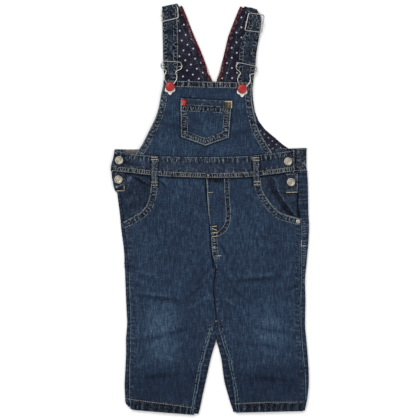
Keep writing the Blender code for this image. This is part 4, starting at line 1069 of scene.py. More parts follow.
@functools.cache
def strap_paths(side):
    """Outer and inner edge of a strap's front run in plan, each with the strap on its left."""
    bm = merged_solid(f"strap_{side}")
    ends = {}
    for item in bm.edges:
        step = item.verts[0].co - item.verts[1].co
        lengthwise = abs(step.y) >= abs(step.x) and min(vert.co.z for vert in item.verts) > 2.5 * MM
        if lengthwise and sum(face.normal.z > 0.4 for face in item.link_faces) == 1:
            for vert in item.verts:
                ends[vert.index] = np.array(vert.co[:2]) / MM
    bm.free()
    points = np.array(list(ends.values()))
    points = points[np.argsort(points[:, 1])]
    rows = [points[np.abs(points[:, 1] - y) < 8.0, 0] for y in points[:, 1]]
    middle = np.array([(row.min() + row.max()) / 2.0 for row in rows])
    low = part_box(f"clip_frame_{side}")[1].y / MM - 46.0
    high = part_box(f"slider_frame_{side}")[1].y / MM + 2.0
    kept = (points[:, 1] > low) & (points[:, 1] < high)
    downwards, upwards = points[(points[:, 0] < middle) & kept][::-1], points[(points[:, 0] >= middle) & kept]
    return (downwards, upwards) if side == "right" else (upwards, downwards)


# ---------------------------------------------------------------- cloth


def leg_bands(side):
    """Puckers of a front leg's hem, seams and pocket, and of the fly on the left one."""
    paths = leg_paths(side)
    bands = [
        Band(paths["hem"], 0.6, 11.6, 10.0, 0.35, 0.46, 0.48, 0.55, 0.0),
        Band(paths["hem"], 11.0, 14.6, 5.2, 0.15, 0.40, 0.30, 0.6, 0.0),
        Band(paths["inseam"], 1.2, 7.5, 6.4, 0.30, 0.32, 0.42, 0.45, 0.5),
        Band(paths["outseam"], 1.0, 8.0, 6.8, 0.30, 0.20, 0.26, 0.25, -0.2),
        Band(paths["pocket"], 1.6, 8.8, 5.4, 0.25, 0.32, 0.60, 0.6, 0.2),
    ]
    if side == "left":
        bands += [
            Band(upper_fly(paths), 1.2, 3.6, 5.0, 0.15, 0.15, 0.50, 0.4, 0.0),
            Band(rounded(FLY_INNER_ROW), 0.2, 5.4, 4.6, 0.25, 0.28, 0.80, 0.8, 0.4),
            Band(trimmed(paths["fly"], 78.0, 14.0), 0.8, 8.4, 5.0, 0.30, 0.50, 0.60, 0.7, 0.0),
            Band(paths["centre"], 1.6, 6.0, 5.6, 0.25, 0.16, 0.22, 0.3, 0.3),
        ]
    return bands


def leg_wears(side):
    paths = leg_paths(side)
    return (
        (inset(paths["inseam"], 1.0), 1.5, 0.30), (inset(paths["outseam"], 1.0), 1.5, 0.20),
        (paths["pocket"], 1.6, 0.42), (paths["hem"], 1.2, 0.15),
    )


def shade_front_leg(skin):
    """Dark lines of the hem and of the fly, below it and on its foot; on the right leg the painted shadow of
    the fly's flap, and on both the painted shadows under the waistband and beside the belt loops.
    """
    side = skin.node.split("_")[-1]
    paths = leg_paths(side)
    skin.shade(paths["hem"], 0.4, 11.4, 0.0, 0.22, 0.6)
    if side == "left":
        skin.shade(paths["centre"], -0.5, 1.6, 0.0, 0.7, 0.0)
        skin.shade(upper_fly(paths), -0.6, 1.5, 0.62, 0.0, 0.2)
        skin.shade(FLY_INNER_ROW, -3.0, -0.6, 0.0, 0.22, 0.3)
        skin.shade(((-2.0, 39.4), (21.0, 39.4)), -0.5, 6.0, 0.0, 0.75, 0.5)
        skin.shade(((3.6, -21.0), (8.0, -43.0)), -0.5, 7.5, 0.0, 0.55, 0.6)
    else:
        # Painted shadow of the fly's flap on the right leg
        skin.shade(FLY_EDGE, -2.6, 1.0, 0.0, 0.95, 0.1)
    skin.shadow_waist()


def shade_back_leg(skin):
    """The ladder of puckers where a back leg shows beside the front one, darker in its troughs as partly
    painted shade, and its dark hem.
    """
    x, y, z = skin.points.T
    ladder = np.cos(2.0 * math.pi * (y / 7.4 + 0.4 * wobble(y, 9.0, 31)))
    shown = ((np.abs(x) > 114.0) | (np.abs(x - 8.0) < 50.0)) & (z > 1.0)
    skin.height += 0.18 * ladder * shown
    skin.pale += 0.22 * np.maximum(ladder, 0.0) ** 3.0 * shown
    # Darker in the ladder's troughs, partly painted shade, and a little darker all along where it shows
    skin.deep += (0.22 * (1.0 - smooth(ladder, 0.0, 0.8)) + 0.08) * shown
    skin.rubbed += 0.25 * shown
    skin.deep += 0.10 * (y < (-276.0 if skin.node.endswith("right") else -279.0))


def shade_pocket(skin):
    """The hip pockets' insides, painted darker as painted shade, with the painted shadows round the buttons
    and under the waistband, and the fold in the left one, with painted shade between it and the opening.
    """
    skin.shadow_buttons()
    # Painted shade inside the pocket
    skin.deep += 0.14
    skin.rubbed += 0.25
    skin.shadow_waist()
    if skin.node.endswith("left"):
        skin.shade(FACING_FOLD, -0.9, 0.9, 0.26, 0.0, 0.5)
        # Painted shade between the fold and the opening
        skin.shade(FACING_FOLD, -9.0, -1.0, 0.0, 0.50, 0.2)
        skin.shade(((127.0, 25.0), (127.6, -4.0), (128.6, -16.0)), -2.4, 1.0, 0.0, 0.9, 0.1)


def rubbed_with_button_shadows(amount):
    def touch(skin):
        # Painted shadows round the buttons, and the cloth rubbed all over
        skin.shadow_buttons()
        skin.rub(amount)

    return touch


class OVERALLS_OT_legs(bpy.types.Operator):
    """Make the back legs, the pocket facings and the front legs"""

    bl_idname = "overalls.legs"
    bl_label = "Legs"

    def execute(self, context):
        materials = [denim("washed_denim")]
        for side in SIDES:
            make_cloth(
                f"back_leg_{side}", materials, rumple=(0.08, 16.0, 12, 0.0), behind=True, touch=shade_back_leg
            )
        for side in SIDES:
            make_cloth(
                f"pocket_facing_{side}", materials, rumple=(0.12, 9.0, 21, 0.14),
                touch=shade_pocket,
            )
        for side in SIDES:
            make_cloth(
                f"front_leg_{side}", materials,
                bands=leg_bands(side), wears=leg_wears(side), rumple=(0.10, 14.0, 11, 0.0),
                touch=shade_front_leg,
            )
        return {"FINISHED"}


class OVERALLS_OT_waist(bpy.types.Operator):
    """Make the waistbands, the side plackets and the belt loops"""

    bl_idname = "overalls.waist"
    bl_label = "Waist"

    def execute(self, context):
        waist_denim = denim("waist_denim", -0.01)
        self.back_band([waist_denim, woven_tape("waist_tape", context.scene.overalls_cloth.tape)])
        for side in SIDES:
            make_cloth(
                f"side_placket_{side}", [waist_denim], "waist_denim",
                rumple=(0.15, 6.0, 43, 0.2), touch=rubbed_with_button_shadows(0.7),
            )
        self.front_band([waist_denim])
        for side in SIDES:
            make_cloth(
                f"belt_loop_{side}", [denim(f"loop_denim_{side}", -0.02)], "waist_denim",
                0.6, rumple=(0.16, 2.6, 47, 0.30), touch=rubbed_with_button_shadows(0.85),
            )
        return {"FINISHED"}

    def back_band(self, materials):
        """The back waistband, its inside taped where it shows."""

        def tape_side(middles, normals):
            shown = (middles[:, 0] > -126.0) & (middles[:, 0] < -102.0)
            return (normals[:, 2] > 0.5) & (middles[:, 2] < 2.2) & shown

        def mottle_end_and_paint_shadows(skin):
            skin.shadow_buttons()
            skin.rubbed += 0.35 + 0.65 * (np.abs(skin.points[:, 0]) > 118.0)
            # Painted shadow of the front waistband's end on the back waistband
            skin.shade(((122.4, 55.0), (122.4, 86.0)), -3.0, 0.5, 0.0, 0.8, 0.3)

        bands = (
            Band(((139.0, 88.6), (106.0, 88.0)), 0.5, 8.5, 5.4, 0.25, 0.45, 0.55, 0.9, 0.0),
            Band(((112.0, 58.4), (139.0, 58.2)), 0.5, 7.0, 5.4, 0.25, 0.35, 0.50, 0.9, 0.0),
        )
        make_cloth(
            "back_waistband", materials, "waist_denim", bands=bands, rumple=(0.12, 8.0, 41, 0.14),
            inside=tape_side, touch=mottle_end_and_paint_shadows,
        )

    def front_band(self, materials):
        def rub_end_and_paint_shadows(skin):
            # Painted shadows round the buttons, beside the belt loops and along the band's lower edge, and
            # the band rubbed, most at its right end
            skin.shadow_buttons()
            skin.rub(0.2 + 0.5 * (1.0 - smooth(skin.points[:, 0], -134.0, -120.0)))
            skin.shadow_waist()

        node = "front_waistband"
        top, bottom = edge(node, *BAND_TOP), edge(node, *BAND_BOTTOM)
        left_end, right_end = edge(node, BAND_BOTTOM[1], BAND_TOP[0]), edge(node, BAND_TOP[1], BAND_BOTTOM[0])
        bands = (
            Band(top, 1.2, 10.5, 6.4, 0.35, 0.34, 0.55, 0.55, 0.15),
            Band(bottom, 1.4, 6.8, 5.0, 0.32, 0.62, 0.80, 0.9, 0.0),
            Band(bottom, 6.8, 12.0, 7.4, 0.20, 0.20, 0.34, 0.6, 0.2),
            Band(left_end, 1.4, 7.0, 6.0, 0.25, 0.4, 0.6, 0.9, 0.0),
            Band(right_end, 1.4, 7.0, 6.0, 0.25, 0.4, 0.6, 1.0, 0.0),
        )
        wears = ((top, 1.7, 0.30), (bottom, 1.6, 0.28), (left_end, 1.8, 0.6), (right_end, 1.6, 0.2))
        make_cloth(
            node, materials, "waist_denim", bands=bands, wears=wears,
            rumple=(0.14, 9.0, 45, 0.10), touch=rub_end_and_paint_shadows,
        )


class OVERALLS_OT_bib(bpy.types.Operator):
    """Make the back bib, the front bib and the pocket with its tag and label"""

    bl_idname = "overalls.bib"
    bl_label = "Bib"

    def execute(self, context):
        look = context.scene.overalls_cloth
        bib_denim = denim("bib_denim", 0.01)
        make_cloth("back_bib", [bib_denim], touch=Skin.shadow_buttons)
        dots = dotted_lining("bib_lining_dots", 5.0, (90.0, 98.7), 0.73, 0.8, 0.6)
        make_cloth(
            "back_bib_lining", [dots], "dotted_lining",
            rumple=(0.2, 9.0, 51, 0.25), washed=False,
        )
        right_side, left_side, top = bib_edges()
        bands = (
            Band(top, 0.8, 8.2, 6.7, 0.35, 0.60, 1.00, 0.9, 0.0),
            Band(right_side, 1.6, 9.2, 5.2, 0.30, 0.40, 0.62, 0.8, 0.3),
            Band(left_side, 1.6, 9.2, 5.2, 0.30, 0.40, 0.62, 0.8, -0.3),
        )
        wears = ((top, 1.5, 0.45), (right_side, 1.6, 0.50), (left_side, 1.6, 0.50))
        make_cloth(
            "front_bib", [bib_denim], "denim", bands=bands, wears=wears,
            rumple=(0.12, 12.0, 53, 0.05), touch=shadow_pocket,
        )
        badges = [
            make_cloth(
                node, [woven_tape(node, ground, 0.75)], slot, fine=0.4, rumple=(0.06, 2.5, 57, 0.10),
                washed=False, touch=touch,
            )
            for node, slot, ground, touch in (
                ("pocket_tag", "tag_red", look.tag, fade_tag),
                ("pocket_label", "label_cream", look.label, stripe_label),
            )
        ]
        sides, top = pocket_edges()
        bands = (
            Band(top, 0.8, 9.4, 6.0, 0.24, 0.16, 0.22, 0.4, 0.0),
            Band(top, 9.6, 17.0, 5.6, 0.20, 0.22, 0.85, 0.7, 0.0),
            Band(sides, 1.4, 9.2, 5.0, 0.30, 0.34, 0.85, 0.85, 0.2),
        )
        make_cloth(
            "bib_pocket", [denim("pocket_denim")], "denim", 0.85, bands,
            ((top, 1.4, 0.55), (sides, 1.6, 0.62)), (0.12, 9.0, 55, 0.06), touch=Skin.shadow_buttons,
        )
        return {"FINISHED"}


def shadow_pocket(skin):
    """The pocket's dark outline on the bib."""
    skin.shadow_buttons()
    for path in pocket_edges():
        skin.shade(path, -2.2, 0.2, 0.0, 0.55, 0.0)


def fade_tag(skin):
    """The tag's pale folded edge."""
    x = skin.points[:, 0]
    skin.pale += 0.9 * (1.0 - smooth(x, -40.8, -39.8))
    skin.deep += 0.5 * smooth(x, -36.0, -35.0)


def stripe_label(skin):
    """A plain label with a darker striped middle inside a pale border."""
    x, y = skin.plan
    middle = (1.0 - smooth(x, 30.0, 30.8)) * (1.0 - smooth(y, 154.2, 155.0))
    stripes = 0.55 + 0.35 * np.cos(2.0 * math.pi * x / 2.0)
    skin.deep += middle * stripes + 0.6 * (1.0 - smooth(x, 24.8, 26.2))
    skin.pale += 0.9 * (1.0 - middle)


def darken_strap(skin):
    skin.deep += 0.28
    skin.rub(0.62)


class OVERALLS_OT_straps(bpy.types.Operator):
    """Make the straps, their dotted linings and the neck bindings"""

    bl_idname = "overalls.straps"
    bl_label = "Straps"

    def execute(self, context):
        strap_denim = denim("strap_denim", -0.02)
        dots = {
            "right": dotted_lining("strap_lining_dots_right", 10.3, (-32.5, 237.7)),
            "left": dotted_lining("strap_lining_dots_left", 1.0, (38.4, 240.6)),
        }
        binding = woven_tape("neck_binding", context.scene.overalls_cloth.binding, 0.4)
        for side, slant in (("right", 0.8), ("left", -0.8)):
            outer, inner = strap_paths(side)
            crinkles = (0.8, 7.6, 6.0, 0.18, 0.40, 0.62, 0.85)
            make_cloth(
                f"strap_{side}", [strap_denim],
                bands=(Band(outer, *crinkles, slant), Band(inner, *crinkles, -slant)),
                wears=((outer, 1.3, 0.16), (inner, 1.3, 0.16)), rumple=(0.10, 5.0, 65, 0.20),
                washed=False, touch=darken_strap,
            )
            make_cloth(
                f"strap_lining_{side}", [dots[side]], "dotted_lining",
                rumple=(0.16, 10.0, 61, 0.18), washed=False,
            )
            make_cloth(
                f"neck_binding_{side}", [binding], "binding", 0.8,
                rumple=(0.14, 3.4, 63, 0.3), washed=False,
            )
        return {"FINISHED"}


# ---------------------------------------------------------------- stitching


@functools.cache
def stitch_tree():
    """Stitches along a mesh's edges: short threads, laid along each row or across it."""
    tree = bpy.data.node_groups.new("stitch_row", "GeometryNodeTree")
    numbers = ("Pitch", "Length", "Thickness", "Turn", "Wander", "Kept")
    inputs = {"Rows": "Geometry", **dict.fromkeys(numbers, "Float")}
    for name, kind in {**inputs, "Thread": "Material"}.items():
        tree.interface.new_socket(name=name, in_out="INPUT", socket_type=f"NodeSocket{kind}")
    tree.interface.new_socket(name="Stitches", in_out="OUTPUT", socket_type="NodeSocketGeometry")
    add = functools.partial(add_node, tree)

    def calculated(operation, first, second):
        return add("ShaderNodeMath", {0: first, 1: second}, operation=operation).outputs[0]

    source = add("NodeGroupInput").outputs
    curve = add("GeometryNodeMeshToCurve", {"Mesh": source["Rows"]}).outputs[0]
    spacing = {"Curve": curve, "Length": source["Pitch"]}
    points = add("GeometryNodeResampleCurve", spacing, mode="LENGTH").outputs[0]
    grain = add("GeometryNodeMeshUVSphere", {"Segments": 6, "Rings": 5, "Radius": 0.5}).outputs["Mesh"]
    tangent = add("GeometryNodeInputTangent").outputs[0]
    aligned = add("FunctionNodeAlignRotationToVector", {"Vector": tangent}, axis="Z").outputs[0]
    limits = {2: calculated("MULTIPLY", source["Wander"], -1.0), 3: source["Wander"], "Seed": 7}
    stray = add("FunctionNodeRandomValue", limits, data_type="FLOAT").outputs[1]
    euler = add("ShaderNodeCombineXYZ", {"Z": calculated("ADD", source["Turn"], stray)}).outputs[0]
    swing = add("FunctionNodeEulerToRotation", {0: euler}).outputs[0]
    turns = {"Rotation": aligned, "Rotate By": swing}
    rotation = add("FunctionNodeRotateRotation", turns, rotation_space="GLOBAL").outputs[0]
    spread = add("FunctionNodeRandomValue", {2: 0.86, 3: 1.1, "Seed": 11}, data_type="FLOAT").outputs[1]
    length = calculated("MULTIPLY", source["Length"], spread)
    sides = {"X": source["Thickness"], "Y": source["Thickness"], "Z": length}
    scale = add("ShaderNodeCombineXYZ", sides).outputs[0]
    chance = {"Probability": source["Kept"], "Seed": 5}
    kept = add("FunctionNodeRandomValue", chance, data_type="BOOLEAN").outputs[3]
    laid = add(
        "GeometryNodeInstanceOnPoints",
        {"Points": points, "Selection": kept, "Instance": grain, "Rotation": rotation, "Scale": scale},
    ).outputs[0]
    real = add("GeometryNodeRealizeInstances", {"Geometry": laid}).outputs[0]
    done = add("GeometryNodeSetMaterial", {"Geometry": real, "Material": source["Thread"]}).outputs[0]
    add("NodeGroupOutput", {"Stitches": done})
    return tree


def draped(node, path, lift, behind):
    """A path's points on the skin of a piece, in metres."""
    places = []
    for x, y in spaced(path, 1.2) * MM:
        hit = SKINS[node].ray_cast(Vector((x, y, -0.01 if behind else 0.03)), UP if behind else -UP)[0]
        if hit is not None:
            places.append((x, y, hit.z + (-lift if behind else lift)))
    return places


def sew(name, rows, slot, thread, lift=0.1, behind=False, **changed):
    """Sews rows of (node, path) onto their pieces, as one piece of stitches.

    changed holds the stitch tree's inputs that aren't the usual ones, in metres
    and radians, and lift is how far over the cloth the stitches' middles lie.
    """
    look = bpy.context.scene.overalls_thread
    values = {
        "Pitch": look.pitch, "Length": look.length, "Thickness": look.thickness, "Turn": 0.0,
        "Wander": 0.12, "Thread": thread, **{key.capitalize(): value for key, value in changed.items()},
    }
    points, pairs = [], []
    for node, path in rows:
        places = draped(node, path, lift * MM, behind)
        pairs += [(len(points) + i, len(points) + i + 1) for i in range(len(places) - 1)]
        points += places
    base = bpy.data.meshes.new(f"{name}_rows")
    base.from_pydata(points, pairs, [])
    guide = add_object(f"{name}_rows", base)
    modifier = guide.modifiers.new("Stitches", "NODES")
    modifier.node_group = stitch_tree()
    for item in stitch_tree().interface.items_tree:
        if item.item_type == "SOCKET" and item.in_out == "INPUT" and item.name in values:
            modifier[item.identifier] = values[item.name]
    bpy.context.view_layer.update()
    mesh = bpy.data.meshes.new_from_object(guide.evaluated_get(bpy.context.evaluated_depsgraph_get()))
    if not mesh.polygons:
        raise RuntimeError(f"{name} came out empty")
    mesh.shade_smooth()
    piece = add_object(name, mesh)
    bpy.data.objects.remove(guide)
    hand_over(piece, slot)


def on(node, *paths):
    """Rows on one piece."""
    return [(node, path) for path in paths]


def leg_rows(side):
    """The hem rows in the plain thread, and the greyer rows of the seams."""
    node, back, paths = f"front_leg_{side}", f"back_leg_{side}", leg_paths(side)
    mouth = rounded(paths["pocket"], 3)
    grey = on(node, inset(mouth, 1.6), trimmed(inset(mouth, 9.2), 2.0, 2.0))
    if side == "right":
        grey += on(back, ((-124.6, -18.0), (-128.4, -18.8))) + on(node, ((-116.4, -23.2), (-123.6, -26.4)))
        grey += on(back, ((-124.4, -26.8), (-128.0, -28.4)))
        return on(node, HEM_ROW_RIGHT) + on(back, ((-128.5, -271.6), (-117.5, -273.0))), grey
    grey += on(node, inset(paths["fly"], 1.1), trimmed(inset(paths["fly"], 8.6), 80.0, 12.0))
    return on(node, HEM_ROW_LEFT) + on(back, ((138.2, -277.4), (141.0, -277.2))), grey


def waist_rows():
    node = "front_waistband"
    top, bottom = edge(node, *BAND_TOP), edge(node, *BAND_BOTTOM)
    end = edge(node, BAND_BOTTOM[1], BAND_TOP[0])
    plain = on(node, inset(bottom, 1.5), inset(bottom, 6.9))
    plain += on("back_waistband", ((-124.0, 85.2), (-103.0, 84.2)))
    grey = on(node, inset(top, 1.5), inset(end, 1.5))
    grey += on("back_waistband", ((126.0, 86.2), (139.2, 87.0)), ((126.0, 61.4), (139.2, 61.6)))
    grey += on("side_placket_left", ((110.4, 50.7), (122.8, 50.7)), ((125.6, 50.0), (125.6, 30.0)))
    for side in SIDES:
        low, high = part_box(f"belt_loop_{side}")
        ends = low.x / MM + 2.5, high.x / MM - 2.5
        grey += on(f"belt_loop_{side}", *(((x, 42.0), (x, 72.0)) for x in ends))
    return plain, grey


def bib_rows():
    right_side, left_side, top = bib_edges()
    plain = on("front_bib", inset(top, 1.2), inset(top, 8.4))
    grey = on("front_bib", *(inset(path, depth) for path in (right_side, left_side) for depth in (1.6, 9.0)))
    sides, top = pocket_edges()
    grey += on("bib_pocket", inset(sides, 1.3), trimmed(inset(sides, 9.4), 16.0, 16.0))
    return plain, grey + on("bib_pocket", inset(top, 9.0), inset(top, 17.6))


def strap_rows():
    rows = []
    for side in SIDES:
        for path in strap_paths(side):
            rows += on(f"strap_{side}", inset(path, 1.5), inset(path, 6.4))
    return [], rows


def back_rows():
    """Rows of the plain back: the seat seam, the hems, the waistband and the bib."""
    return [
        ("back_leg_right", ((3.6, 46.0), (3.6, -150.0))),
        ("back_leg_left", ((8.4, 46.0), (8.8, -150.0))),
        ("back_leg_right", ((-118.0, -274.0), (-22.0, -281.0))),
        ("back_leg_left", ((36.0, -279.0), (134.0, -276.0))),
        ("back_waistband", ((-136.0, 84.4), (5.0, 83.4), (136.0, 86.4))),
        ("back_waistband", ((-136.0, 55.8), (5.0, 54.8), (136.0, 59.0))),
        ("back_bib", ((-95.0, 93.0), (-83.0, 110.0), (-76.0, 123.0), (-67.4, 140.0), (-62.0, 176.0))),
        ("back_bib", ((108.0, 93.0), (93.0, 104.0), (75.0, 118.0), (62.0, 140.0), (59.4, 176.0))),
    ]


def ridge_rows():
    """Paths of the worn ridges that cross the seams: pitch, length, share kept, rows."""
    right_side, left_side, bib_top = bib_edges()
    sides, pocket_top = pocket_edges()
    left, right = leg_paths("left"), leg_paths("right")
    fine = on("front_waistband", inset(edge("front_waistband", *BAND_BOTTOM), 4.2))
    fine += on("bib_pocket", inset(pocket_top, 13.4), trimmed(inset(sides, 5.4), 12.0, 12.0))
    fine += on("front_leg_left", trimmed(inset(left["fly"], 4.6), 80.0, 12.0))
    fine += on("back_leg_left", SIDE_SEAM_LEFT[7:10, [3, 0]] + (4.6, 0.0))
    coarse = on("front_bib", inset(right_side, 5.2), inset(left_side, 5.2))
    coarse += on("front_leg_left", inset(left["pocket"], 5.4))
    coarse += on("front_leg_right", inset(right["pocket"], 5.4))
    for side in SIDES:
        coarse += on(f"strap_{side}", *(inset(path, 4.0) for path in strap_paths(side)))
    broad = on("front_waistband", inset(edge("front_waistband", *BAND_TOP), 5.6))
    broad += on("front_bib", inset(bib_top, 4.8))
    return (3.5, 5.2, 0.85, fine), (5.0, 4.6, 0.7, coarse), (6.8, 7.4, 0.75, broad)


def worn_rows():
    """Edges worn pale in long lines, and the paler blue lines of the seams' allowances."""
    edges = on("front_leg_left", inset(upper_fly(leg_paths("left")), 0.4))
    edges += on("bib_pocket", inset(pocket_edges()[0], 0.5))
    edges += on("front_bib", *(inset(path, 0.5) for path in bib_edges()[:2]))
    edges += on("front_leg_left", rounded(FLY_INNER_ROW), rounded(FLY_OUTER_ROW))
    for side in SIDES:
        edges += on(f"front_leg_{side}", rounded(inset(leg_paths(side)["pocket"], 0.5)))
    edges += on("strap_right", inset(strap_paths("right")[1], 0.7))
    outer = spaced(leg_paths("right")["outseam"], 3.0)
    outer = inset(outer[outer[:, 1] < -92.0], 0.8)
    outer[:, 0] += 0.5 * wobble(outer[:, 1], 8.0, 93)
    allowances = on("front_leg_right", outer) + on("back_leg_left", SIDE_SEAM_LEFT[1:-3, [3, 0]] + (0.9, 0.0))
    for side in SIDES:
        path = spaced(leg_paths(side)["inseam"], 3.0)
        for depth, seed in ((2.2, 91), (5.4, 92)):
            strayed = inset(path[path[:, 1] < -171.0], depth)
            strayed[:, 0] += 1.1 * wobble(strayed[:, 1], 9.0, seed)
            allowances += on(f"front_leg_{side}", strayed)
    return edges, allowances


def neck_rows():
    """The rows across the bindings, those on their borders, and those on the linings."""
    bindings, borders, linings = [], [], []
    for side, outward in (("right", -1.0), ("left", 1.0)):
        middle = refit(f"neck_binding_{side}", NECK_MIDDLE[side])
        bindings += on(f"neck_binding_{side}", middle)
        borders += on(f"neck_binding_{side}", middle - (outward * 2.6, 0.0))
        linings += on(f"strap_lining_{side}", middle + (outward * 9.4, 0.0))
    return bindings, borders, linings


class OVERALLS_OT_topstitching(bpy.types.Operator):
    """Sew the rows of topstitching on the front and the back"""

    bl_idname = "overalls.topstitching"
    bl_label = "Topstitching"

    def execute(self, context):
        look = context.scene.overalls_thread
        tan, grey = sewing_thread("topstitch_thread", look.tan), sewing_thread("seam_thread", look.grey)
        for name, (plain, seams), slot, kept in (
            ("right_leg", leg_rows("right"), "denim", 0.86),
            ("left_leg", leg_rows("left"), "denim", 0.86),
            ("waist", waist_rows(), "waist_denim", 0.80),
            ("bib", bib_rows(), "denim", 0.74),
            ("straps", strap_rows(), "denim", 0.55),
        ):
            if plain:
                sew(f"topstitching_{name}", plain, slot, tan, kept=0.95)
            sew(f"seams_{name}", seams, slot, grey, kept=kept)
        sew("topstitching_back", back_rows(), "denim", tan, lift=-0.2, behind=True, kept=1.0)
        worn = sewing_thread("worn_ridges", look.ridge)
        for index, (pitch, length, kept, rows) in enumerate(ridge_rows()):
            sew(
                f"worn_ridges_{index}", rows, "denim", worn, lift=-0.1, pitch=pitch * MM, length=length * MM,
                thickness=0.95 * MM, turn=math.radians(90.0), wander=0.3, kept=kept,
            )
        edges, allowances = worn_rows()
        line = {
            "lift": -0.1, "pitch": 1.9 * MM, "length": 2.5 * MM, "thickness": 0.95 * MM,
            "wander": 0.1, "kept": 0.85,
        }
        sew("worn_edges", edges, "denim", worn, **line)
        sew("worn_seams", allowances, "denim", sewing_thread("worn_lines", look.line), **line)
        bindings, borders, linings = neck_rows()
        sew("lining_stitches", linings, "dotted_lining", grey, length=1.3 * MM, kept=0.9)
        rose = sewing_thread("binding_thread", look.rose)
        sew("binding_border", borders, "binding", rose, length=look.pitch, kept=1.0)
        slanted = {"length": look.pitch, "thickness": 0.45 * MM, "turn": math.radians(52.0), "kept": 0.8}
        sew("binding_stitches", bindings, "binding", rose, **slanted)
        return {"FINISHED"}


class OVERALLS_OT_bartacks(bpy.types.Operator):
    """Sew the bar tacks on the loops, the pockets, the plackets and the fly"""

    bl_idname = "overalls.bartacks"
    bl_label = "Bar tacks"

    def execute(self, context):
        look = context.scene.overalls_thread
        rows = []
        for node, x, y, angle, length in TACKS:
            turn = math.radians(angle)
            dx, dy = math.cos(turn) * length / 2.0, math.sin(turn) * length / 2.0
            rows += on(node, ((x - dx, y - dy), (x + dx, y + dy)))
        sew(
            "bar_tacks", rows, "waist_denim", sewing_thread("tack_thread", look.gold), lift=0.25,
            pitch=look.tack_pitch, length=look.tack_width, thickness=look.thickness * 0.9,
            turn=math.radians(80.0), wander=0.16, kept=0.85,
        )
        return {"FINISHED"}


# ---------------------------------------------------------------- fittings


def join_rings(bm, rings, sides, closed=False):
    """Faces between each ring of vertices and the next. A ring may be one point."""
    for low, high in zip(rings, rings[1:] + rings[: int(closed)]):
        for index in range(sides):
            after = (index + 1) % sides
            corners = [low[index % len(low)], low[after % len(low)]]
            corners += [high[after % len(high)], high[index % len(high)]]
            bm.faces.new(list(dict.fromkeys(corners)))


def turned(name, profile, centre, material, slot, node, sides=48):
    """A round piece from its profile of (radius, height) pairs, bottom to top."""
    bm = bmesh.new()
    rings = []
    for radius, height in profile:
        ring = []
        for index in range(sides if radius else 1):
            turn = 2.0 * math.pi * index / sides
            x, y = radius * math.cos(turn), radius * math.sin(turn)
            ring.append(bm.verts.new((centre[0] + x, centre[1] + y, centre[2] + height)))
        rings.append(ring)
    join_rings(bm, rings, sides)
    bmesh.ops.recalc_face_normals(bm, faces=bm.faces)
    finish_fitting(bm, name, material, slot, node)


def arc(centre_radius, centre_height, radius, start, end, steps=5):
    """Points of a profile's round stretch, its angles from straight out."""
    turns = [math.radians(start + (end - start) * step / steps) for step in range(steps + 1)]
    return [
        (centre_radius + radius * math.cos(turn), centre_height + radius * math.sin(turn)) for turn in turns
    ]


def round_place(node):
    """Centre of a round node's foot, its radius and its height."""
    low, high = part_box(node)
    centre = ((low.x + high.x) / 2.0, (low.y + high.y) / 2.0, low.z)
    return centre, (high.x - low.x) / 2.0, high.z - low.z


def side_button(node, material):
    centre, radius, height = round_place(node)
    rim = radius * 0.16
    profile = [(0.0, 0.0), (radius * 0.45, 0.0)]
    profile += [(radius * 0.45, height * 0.35), (radius * 0.9, height * 0.35)]
    profile += arc(radius - rim, height - rim, rim, -60.0, 120.0, 9)
    profile += [(radius * 0.72, height * 0.78), (radius * 0.60, height * 0.62)]
    profile.append((radius * 0.46, height * 0.62))
    profile += arc(radius * 0.30, height * 0.74, radius * 0.12, -40.0, 120.0)
    profile += [(radius * 0.16, height * 0.70), (0.0, height * 0.66)]
    turned(f"{node}_metal", profile, centre, material, "silver_button", node)


def strap_cap(node, material):
    """The round enamelled head on its shank."""
    centre, radius, height = round_place(node)
    shank, foot = radius * 0.44, height * 0.47
    profile = [(0.0, 0.0), (shank, 0.0), (shank, foot), (radius * 0.93, foot)]
    profile += arc(radius * 0.90, foot + radius * 0.10, radius * 0.10, -70.0, 60.0)
    shoulder = foot + radius * 0.19
    for step in range(1, 8):
        turn = math.radians(90.0 * step / 8)
        rise = (height - shoulder) * math.sin(turn) ** 1.1
        profile.append((radius * 0.94 * math.cos(turn) ** 0.8, shoulder + rise))
    profile.append((0.0, height))
    turned(f"{node}_enamel", profile, centre, material, "enamel_red", node)


def rivet(node, material):
    centre, radius, height = round_place(node)
    profile = [(0.0, 0.0), (radius, 0.0)]
    profile += arc(radius * 0.86, height * 0.34, radius * 0.14, -20.0, 90.0)
    profile += [(radius * 0.62, height * 0.42), (radius * 0.52, height * 0.5)]
    profile += [(radius * 0.42, height * 0.86), (radius * 0.24, height * 0.98), (0.0, height)]
    turned(f"{node}_metal", profile, centre, material, "silver_button", node, 32)


def cap_base(node, material):
    """The plate under a cap, its lobes shortened and its edge rounded."""
    bm = merged_solid(node)
    bmesh.ops.dissolve_limit(bm, angle_limit=math.radians(2.0), verts=bm.verts, edges=bm.edges)
    centre, radius = round_place(node)[0], round_place(node.replace("base", "cap"))[1]
    for vert in bm.verts:
        out = Vector((vert.co.x - centre[0], vert.co.y - centre[1]))
        share = 0.30 + 0.50 * max(0.0, -out.y / max(out.length, 1e-9)) ** 4.0
        out = out.normalized() * min(out.length, radius + (out.length - radius) * share)
        vert.co.xy = (centre[0] + out.x, centre[1] + out.y)
    rim = [item for item in bm.edges if item.is_manifold and item.calc_face_angle() > math.radians(60.0)]
    bmesh.ops.bevel(
        bm, geom=rim, offset=0.3 * MM, offset_type="OFFSET", segments=3, profile=0.5, affect="EDGES",
        clamp_overlap=True, material=-1,
    )
    finish_fitting(bm, f"{node}_enamel", material, "enamel_white", node)


